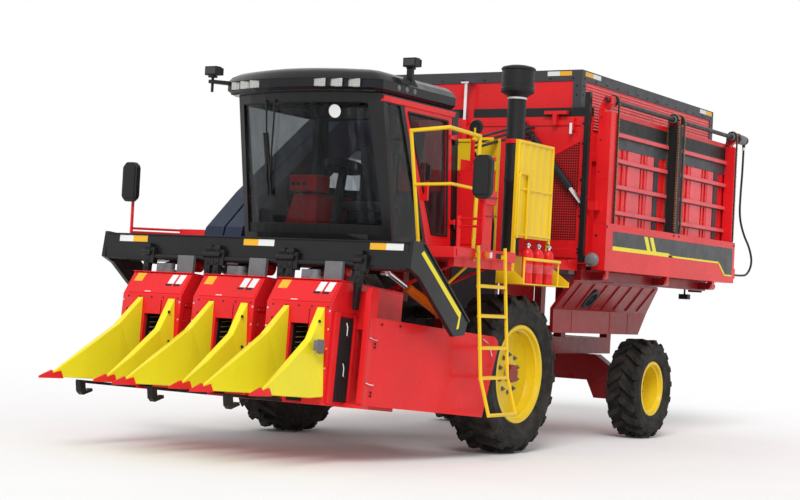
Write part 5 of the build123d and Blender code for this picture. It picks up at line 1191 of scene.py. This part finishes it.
def door_pieces():
    """Unloading door: band, stripe, channel, posts, inner sheets, chains, hubs, bolts and slat lips."""
    x = DOOR_FACE
    band = Build("door_band", "band", "unload_door", bevel=0.0005)
    for row in ([(1.88, 2.36), (3.62, 2.36), (3.62, 2.16), (1.88, 2.18)],
                [(3.62, 2.36), (5.10, 2.36), (5.10, 2.155), (3.62, 2.16)],
                [(5.10, 2.36), (5.52, 2.36), (5.52, 2.02), (5.28, 2.02), (5.10, 2.155)]):
        band.prism(row, "X", x, x + 0.0015)
    band.done()
    stripe = Build("door_stripe", "lemon", "unload_door", bevel=0.0005)
    for row in ([(1.88, 2.195), (3.40, 2.195), (3.46, 2.150), (1.88, 2.150)],
                [(3.40, 2.195), (3.44, 2.195), (3.60, 2.150), (3.46, 2.150)],
                [(3.44, 2.172), (5.06, 2.172), (5.08, 2.150), (3.46, 2.150)],
                [(5.06, 2.172), (5.29, 2.020), (5.26, 2.005), (5.04, 2.150)],
                [(5.26, 2.022), (5.52, 2.022), (5.52, 2.004), (5.26, 2.004)]):
        stripe.prism(row, "X", x + 0.0015, x + 0.0025)
    for y in (2.72, 2.88):
        stripe.prism([(y, 2.35), (y + 0.10, 2.35), (y + 0.20, 2.195), (y + 0.10, 2.195)], "X",
                     x + 0.0015, x + 0.0025)
    stripe.done()
    dark = Build("door_channel", "moulded", "unload_door", bevel=0.002)
    dark.box(1.45, 1.604, 3.583, 3.698, 2.44, 3.72)
    for y0, y1 in DOOR_BAYS:
        dark.box(1.4535, 1.4675, y0, y1, 3.50, 3.645)
    dark.done()
    grey = Build("door_inner_band", "grey", "unload_door", bevel=0.002)
    for y0, y1 in DOOR_BAYS:
        grey.boxes((1.4535, 1.4675, y0, y1, 3.30, 3.50),
                   (1.4535, 1.4675, y0 + (y1 - y0) * 0.80, y0 + (y1 - y0) * 0.87, 2.44, 3.30))
    grey.done()
    sheet = Build("door_inner_ribs", "pink", "unload_door", bevel=0.004)
    for y0, y1 in DOOR_BAYS:
        for share, width in ((0.01, 0.29), (0.36, 0.34), (0.68, 0.18)):
            y = y0 + (y1 - y0) * share
            sheet.box(1.4525, 1.4675, y, y + width, 2.44, 3.30)
    sheet.done()
    post = Build("door_posts", "red", "unload_door", bevel=0.004)
    post.boxes((1.45, 1.598, 1.697, 1.834, 2.43, 3.66), (1.45, 1.560, 5.490, 5.603, 2.43, 3.66))
    for y0, y1 in ((1.861, 1.874), (5.438, 5.450)):
        post.box(1.47, 1.603, y0, y1, 2.44, 3.66)
    for y0, y1 in DOOR_BAYS:
        for share in (0.20, 0.30, 0.58, 0.64):
            y = y0 + (y1 - y0) * share
            post.box(1.4525, 1.4665, y, y + 0.05, 2.44, 3.30)
    post.done()
    chain = Build("door_chain_links", "bronze", "unload_door", bevel=0)
    for y in (1.848, 3.547, 3.733, 5.465):
        for n in range(44):
            z = 2.46 + n * 0.03
            for cx in (1.475, 1.609):
                chain.box(cx - 0.011, cx + 0.011, y + (0.002 if n % 2 else 0.006),
                          y + (0.024 if n % 2 else 0.020),
                          z, z + 0.022)
        for n in range(13):
            t = math.pi * (n + 0.5) / 13
            spot = Vector((SHAFT_X + 0.067 * math.cos(t), y + 0.013, SHAFT_Z + 0.067 * math.sin(t)))
            along = Vector((-math.sin(t), 0, math.cos(t)))
            chain.tube([spot - along * 0.010, spot + along * 0.010], 0.010, 8)
    chain.done()
    hubs = Build("sprocket_hubs", "cast", "unload_door", bevel=0.002)
    for y in (1.80, 3.53, 3.77, 5.44):
        hubs.lathe((SHAFT_X, y, SHAFT_Z), (0, 1, 0),
                   [(0, 0.03), (0, 0.046), (0.03, 0.046), (0.034, 0.03)], 28)
    hubs.lathe((SHAFT_X, 5.895, SHAFT_Z), (0, 1, 0),
               [(0, 0), (0, 0.04), (0.02, 0.04), (0.034, 0.02), (0.034, 0)], 24)
    hubs.lathe((SHAFT_X, 5.64, SHAFT_Z), (0, 1, 0),
               [(0, 0.03), (0, 0.07), (0.03, 0.07), (0.04, 0.058), (0.15, 0.058), (0.16, 0.062),
                (0.20, 0.062), (0.205, 0.05)], 28)
    hubs.done()
    bolts = Build("door_bolts", "moulded", "unload_door", bevel=0.0008)
    for y in (1.72, 3.58, 3.74, 5.57):
        for z in (2.40, 2.9, 3.4) if y in (1.72, 5.57) else (2.41,):
            bolts.bolt((1.60 if z < 2.44 else 1.516, y, z), (1, 0, 0), 0.010, 0.008)
    for z in (2.05, 2.30, 2.65, 3.0, 3.35, 3.6):
        bolts.bolt((1.48, 1.70, z), (0, -1, 0), 0.010, 0.008)
    for z in (2.05, 2.15, 2.25, 2.45, 2.7, 3.0):
        bolts.bolt((1.48, 5.60, z), (0, 1, 0), 0.010, 0.008)
    bolts.done()
    edges = Build("slat_lips", "pink", "unload_door", bevel=0.001)
    for y0, y1 in ((1.868, 3.547), (3.753, 5.465)):
        for n in range(4):
            z = 2.55 + n * 0.29
            edges.boxes((1.468, 1.498, y0, y1, z + 0.050, z + 0.056),
                        (1.484, 1.500, y0, y1, z + 0.012, z + 0.05))
    edges.done()
    fitting = Build("hose_fittings", "chrome", "unload_door", bevel=0.001)
    fitting.lathe((1.542, 5.90, 3.66), (0, 0, 1),
                  [(0, 0.0145), (0, 0.019), (0.03, 0.021), (0.05, 0.021), (0.05, 0.0145)], 16)
    fitting.lathe((1.542, 5.69, 2.03), (0, 1, 0), [(0, 0.0145), (0, 0.022), (0.03, 0.021), (0.06, 0.018),
                                                   (0.06, 0.0145)], 16)
    fitting.done()


# Service side, ladder and small fittings


STACK_X, STACK_Y = 1.30, 0.06
BOTTLE_X = 1.54
BOTTLE_YS = (0.0, 0.23, 0.46)


def service_side():
    # Intake stack: pipe with its bowl, clamps and bracket
    x, y = STACK_X, STACK_Y
    pipe = Build("stack_pipe", "moulded", bevel=0)
    pipe.lathe((x, y, 2.0), (0, 0, 1), [(0, 0), (0, 0.094), (0.72, 0.094), (0.73, 0.097), (0.76, 0.097),
                                        (0.77, 0.094), (1.60, 0.094), (1.62, 0.11), (1.66, 0.172),
                                        (1.69, 0.176), (1.70, 0.168), (1.88, 0.168), (1.885, 0.177),
                                        (1.90, 0.177), (1.915, 0.160), (1.93, 0.10), (1.932, 0.0)], 64)
    piece = pipe.done()
    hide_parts("intake_stack")
    clamp = Build("stack_clamps", "white", bevel=0.001)
    clamp.lathe((x, y, 3.585), (0, 0, 1), [(0, 0.093), (0, 0.099), (0.020, 0.099), (0.020, 0.093)], 48)
    clamp.done()
    arm = Build("stack_bracket", "red", bevel=0.003)
    arm.lathe((x, y, 3.13), (0, 0, 1), [(0, 0.093), (0, 0.101), (0.045, 0.101), (0.045, 0.093)], 48)
    arm.boxes((1.38, 1.47, 0.04, 0.08, 3.135, 3.165), (1.21, 1.39, -0.03, 0.15, 2.0, 2.03))
    arm.done()
    # Extinguishers: bodies, collars, levers, gauges, short hoses and blank labels
    body = Build("bottle_bodies", "red", bevel=0)
    steel = Build("bottle_valves", "chrome", bevel=0.001)
    levers = Build("bottle_levers", "moulded", bevel=0.002)
    label = Build("bottle_labels", "pink", bevel=0)
    bx = BOTTLE_X
    for by in BOTTLE_YS:
        body.lathe((bx, by, 1.712), (0, 0, 1),
                   [(0, 0), (0, 0.050), (0.006, 0.056), (0.022, 0.056), (0.026, 0.054), (0.29, 0.054),
                    (0.325, 0.048), (0.35, 0.030), (0.362, 0.018), (0.362, 0)], 40)
        label.lathe((bx, by, 1.712), (0, 0, 1),
                    [(0.11, 0.0545), (0.11, 0.0550), (0.20, 0.0550), (0.20, 0.0545)], 40)
        steel.lathe((bx, by, 2.072), (0, 0, 1),
                    [(0, 0.018), (0.012, 0.020), (0.02, 0.014), (0.05, 0.014), (0.055, 0)], 20)
        steel.disc((bx + 0.014, by, 2.10), (1, 0, 0), 0.012, 0, 0.01, 16)
        levers.hull([(bx + a, by + b, 2.112 + c)
                     for a, b, c in ((-0.01, -0.075, 0.022), (0.01, -0.075, 0.022), (-0.01, 0.02, 0.0),
                                     (0.01, 0.02, 0.0), (-0.01, -0.075, 0.028), (0.01, 0.02, 0.014))])
        levers.hull([(bx + a, by + b, 2.09 + c)
                     for a, b, c in ((-0.008, -0.07, 0.0), (0.008, -0.07, 0.0), (-0.008, 0.01, 0.0),
                                     (0.008, 0.01, 0.0), (-0.008, -0.07, 0.006), (0.008, 0.01, 0.008))])
        levers.tube([(bx, by + 0.012, 2.10), (bx, by + 0.05, 2.095), (bx + 0.004, by + 0.066, 2.06),
                     (bx + 0.006, by + 0.062, 1.98), (bx + 0.006, by + 0.058, 1.90)], 0.008, 10)
    pieces = [body.done(), steel.done(), levers.done(), label.done()]
    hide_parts("extinguishers")
    # Guard: round corner tubes, clamp bar across the bottles
    guard = Build("guard_rounding", "yellow", bevel=0.004)
    for gy in (-0.204, 0.552):
        guard.tube([(1.49, gy, 2.18), (1.49, gy, 3.10),
                    (1.49, gy - 0.03 * (1 if gy > 0 else -1), 3.14)], 0.016, 10)
    for z in (2.20, 2.66, 3.13):
        guard.tube([(1.494, -0.20, z), (1.494, 0.55, z)], 0.014, 10)
    guard.tube([(1.51, -0.20, 2.16), (1.51, -0.20, 2.78), (1.51, -0.17, 2.82), (1.51, -0.02, 2.81),
                (1.51, 0.0, 2.78),
                (1.51, 0.0, 2.16)], 0.015, 10)
    guard.box(1.484, 1.489, -0.19, 0.54, 2.19, 3.13)
    for n in range(5):
        y = -0.155 + n * 0.145
        guard.hull([(x, y + a, z) for z in (2.20, 3.12)
                    for x, a in ((1.489, 0), (1.497, 0.015), (1.497, 0.075), (1.489, 0.09))])
    guard.tube([(1.625, -0.21, 1.955), (1.625, 0.56, 1.955), (1.60, 0.585, 1.955)], 0.016, 10)
    guard.done()
    wall = Build("service_panels", "red", bevel=0.004)
    wall.box(1.1205, 1.135, -0.72, -0.50, 2.06, 2.90)
    wall.hull([(x_, y_, z) for x_ in (1.39, 1.43)
               for y_, z in ((-0.74, 2.46), (-0.50, 2.46), (-0.80, 2.60), (-0.50, 2.60))])
    wall.boxes((1.662, 1.668, -1.64, -0.72, 1.915, 1.985), (1.10, 1.135, -0.50, -0.47, 2.0, 3.30),
               (1.14, 1.40, -0.52, -0.49, 2.90, 2.94))
    wall.done()
    grab = Build("cabinet_grab_rails", "shaded_red", bevel=0)
    for z in (2.34, 2.52):
        grab.tube([(1.395, -0.72, z), (1.44, -0.74, z), (1.44, -0.52, z + 0.01),
                   (1.395, -0.50, z + 0.01)], 0.009, 10)
    grab.done()
    marks = Build("deck_plates", "white", bevel=0.0005)
    marks.box(1.668, 1.6692, -1.02, -0.97, 1.925, 1.98)
    marks.done()
    blank = Build("deck_dark_plate", "moulded", bevel=0.0005)
    blank.box(1.668, 1.6692, -0.90, -0.80, 1.925, 1.975)
    blank.done()
    amber = Build("side_marker", "orange", bevel=0)
    amber.lathe((1.668, -1.10, 1.945), (1, 0, 0),
                [(0, 0), (0, 0.036), (0.012, 0.036), (0.026, 0.030), (0.034, 0.016), (0.036, 0)], 32)
    amber.done()
    # Round work lamp on the handrail and pipes between cab and bin
    lamp = Build("handrail_lamp", "moulded", bevel=0.002)
    lamp.lathe((1.45, -1.02, 3.18), (0, 1, 0),
               [(-0.02, 0), (-0.02, 0.06), (0.0, 0.075), (0.03, 0.06), (0.05, 0.02), (0.05, 0)], 36)
    lamp.done()
    post = Build("handrail_lamp_post", "yellow", bevel=0.002)
    post.boxes((1.44, 1.46, -1.045, -1.035, 3.06, 3.17), (1.43, 1.655, -1.05, -1.03, 3.05, 3.075))
    post.done()
    pipes = Build("bin_cylinder_pipes", "moulded", bevel=0)
    for dz in (0.0, 0.05, 0.10):
        pipes.tube([(1.02, -0.30, 3.05 + dz), (1.02, 0.40, 3.22 + dz), (1.0, 1.0, 3.31 + dz),
                    (0.86, 1.30, 3.34 + dz),
                    (0.56, 1.42, 3.35 + dz), (0.43, 1.50, 3.33 + dz), (0.42, 1.62, 3.31 + dz)], 0.014, 10)
    for dx in (0.0, 0.05):
        pipes.tube([(1.18 - dx, -0.10, 2.01), (1.19 - dx, -0.12, 2.30), (1.15 - dx, -0.18, 2.70),
                    (1.06 - dx, -0.26, 3.02)], 0.015, 10)
    pipes.tube([(1.22, 0.30, 2.01), (1.22, 0.32, 2.45), (1.10, 0.60, 2.90), (1.02, 0.95, 3.30)], 0.013, 10)
    pipes.done()
    # Valves and hoses under the front of the bin
    valve = Build("bin_valve_block", "cast", bevel=0.004)
    valve.box(1.10, 1.30, 1.44, 1.58, 1.86, 1.96)
    for k in range(3):
        valve.disc((1.13 + 0.07 * k, 1.51, 1.96), (0, 0, 1), 0.022, 0, 0.05, 16)
    valve.lathe((1.50, 1.60, 2.03), (0, -1, 0),
                [(0, 0), (0, 0.075), (0.03, 0.075), (0.05, 0.05), (0.10, 0.05), (0.11, 0.0)], 32)
    valve.done()


def lower_pieces():
    """Fans, panels, lamp and seams about the lower body; ladder treads, deck struts and tail lamps."""
    for side, word in ((1, "left"), (-1, "right")):
        fan = Build(f"fan_housing_{word}", "moulded", bevel=0.002)
        out = Vector((side * 0.78, 0, -0.62)).normalized()
        spot = Vector((side * 1.262, 2.06, 1.615))
        fan.lathe(spot, out, [(0, 0), (0, 0.13), (0.03, 0.13), (0.04, 0.115), (0.04, 0.085), (0.02, 0.08),
                              (0.02, 0)], 48)
        for k in range(6):
            t = math.pi * k / 6
            u = Vector((0, 1, 0)) * math.cos(t) + out.cross(Vector((0, 1, 0))) * math.sin(t)
            fan.tube([spot + out * 0.03 - u * 0.09, spot + out * 0.03 + u * 0.09], 0.005, 8)
        fan.done()
    front = Build("lower_front_panels", "shaded_red", bevel=0.002)
    for side in (1, -1):
        x0, x1 = sorted((side * 0.895, side * 0.901))
        front.prism([(0.55, 1.86), (1.42, 1.86), (1.42, 1.22), (0.85, 1.22)], "X", x0, x1)
    front.done()
    lamp = Build("under_bin_lamp", "moulded", bevel=0.005)
    lamp.box(1.14, 1.26, 4.92, 5.02, 1.68, 1.745)
    lamp.tube([(1.20, 4.97, 1.745), (1.20, 4.97, 1.81)], 0.012, 10)
    lamp.done()
    seams = Build("lower_seams", "shaded_red", bevel=0.002)
    for y in (1.85, 2.85, 3.35):
        seams.pair(1.158, 1.164, y, y + 0.03, 1.22, 1.46)
    seams.pair(1.400, 1.405, 1.42, 3.60, 1.775, 1.79)
    seams.done()
    tread = Build("ladder_treads", "yellow", bevel=0.0015)
    for x, z in ((1.715, 1.65), (1.738, 1.37), (1.762, 1.07), (1.785, 0.79)):
        for n in range(9):
            y = -1.26 + n * 0.058
            tread.box(x - 0.020, x + 0.012, y, y + 0.012, z + 0.014, z + 0.020)
    tread.tube([(1.66, -1.24, 1.93), (1.30, -1.24, 1.62)], 0.014, 8)
    tread.done()
    strut = Build("deck_struts", "red", bevel=0.003)
    for y in (-1.30, -0.62):
        strut.hull([(x, y + a, z) for a in (0, 0.03)
                    for x, z in ((1.56, 1.90), (1.60, 1.90), (0.66, 1.52), (0.66, 1.56))])
    strut.done()
    tail = Build("tail_lamps", "orange", bevel=0.004)
    tail.pair(1.10, 1.24, 5.40, 5.44, 1.80, 1.86)
    tail.done()
    plate = Build("tail_lamp_brackets", "black", bevel=0.003)
    plate.pair(1.08, 1.26, 5.37, 5.40, 1.78, 1.98)
    plate.done()


def mirror_pieces():
    """Glass and shell of both mirror heads."""
    for x, y, z, word in ((1.95, -1.68, 2.64, "left"), (-1.95, -2.003, 2.534, "right")):
        glass_ = Build(f"mirror_glass_{word}", "mirror", bevel=0.001)
        glass_.box(x - 0.080, x + 0.080, y - 0.0165, y - 0.014, z - 0.175, z + 0.175)
        glass_.done()
        shell = Build(f"mirror_shell_{word}", "moulded", bevel=0.012, segments=3)
        shell.boxes((x - 0.070, x + 0.070, y - 0.086, y - 0.070, z - 0.165, z + 0.165),
                    (x - 0.022, x + 0.022, y - 0.020, y + 0.020, z - 0.05, z + 0.05))
        shell.done()


make_camera()
make_world()
make_lights()
make_floor()
motor_hose()
dress_nodes()
for row in WHEELS:
    wheel(*row)
header_pieces()
divider_dress()
shield_dress()
end_arm_stripes()
cab_outside()
cab_inside()
seat()
bin_pieces()
door_pieces()
service_side()
lower_pieces()
mirror_pieces()
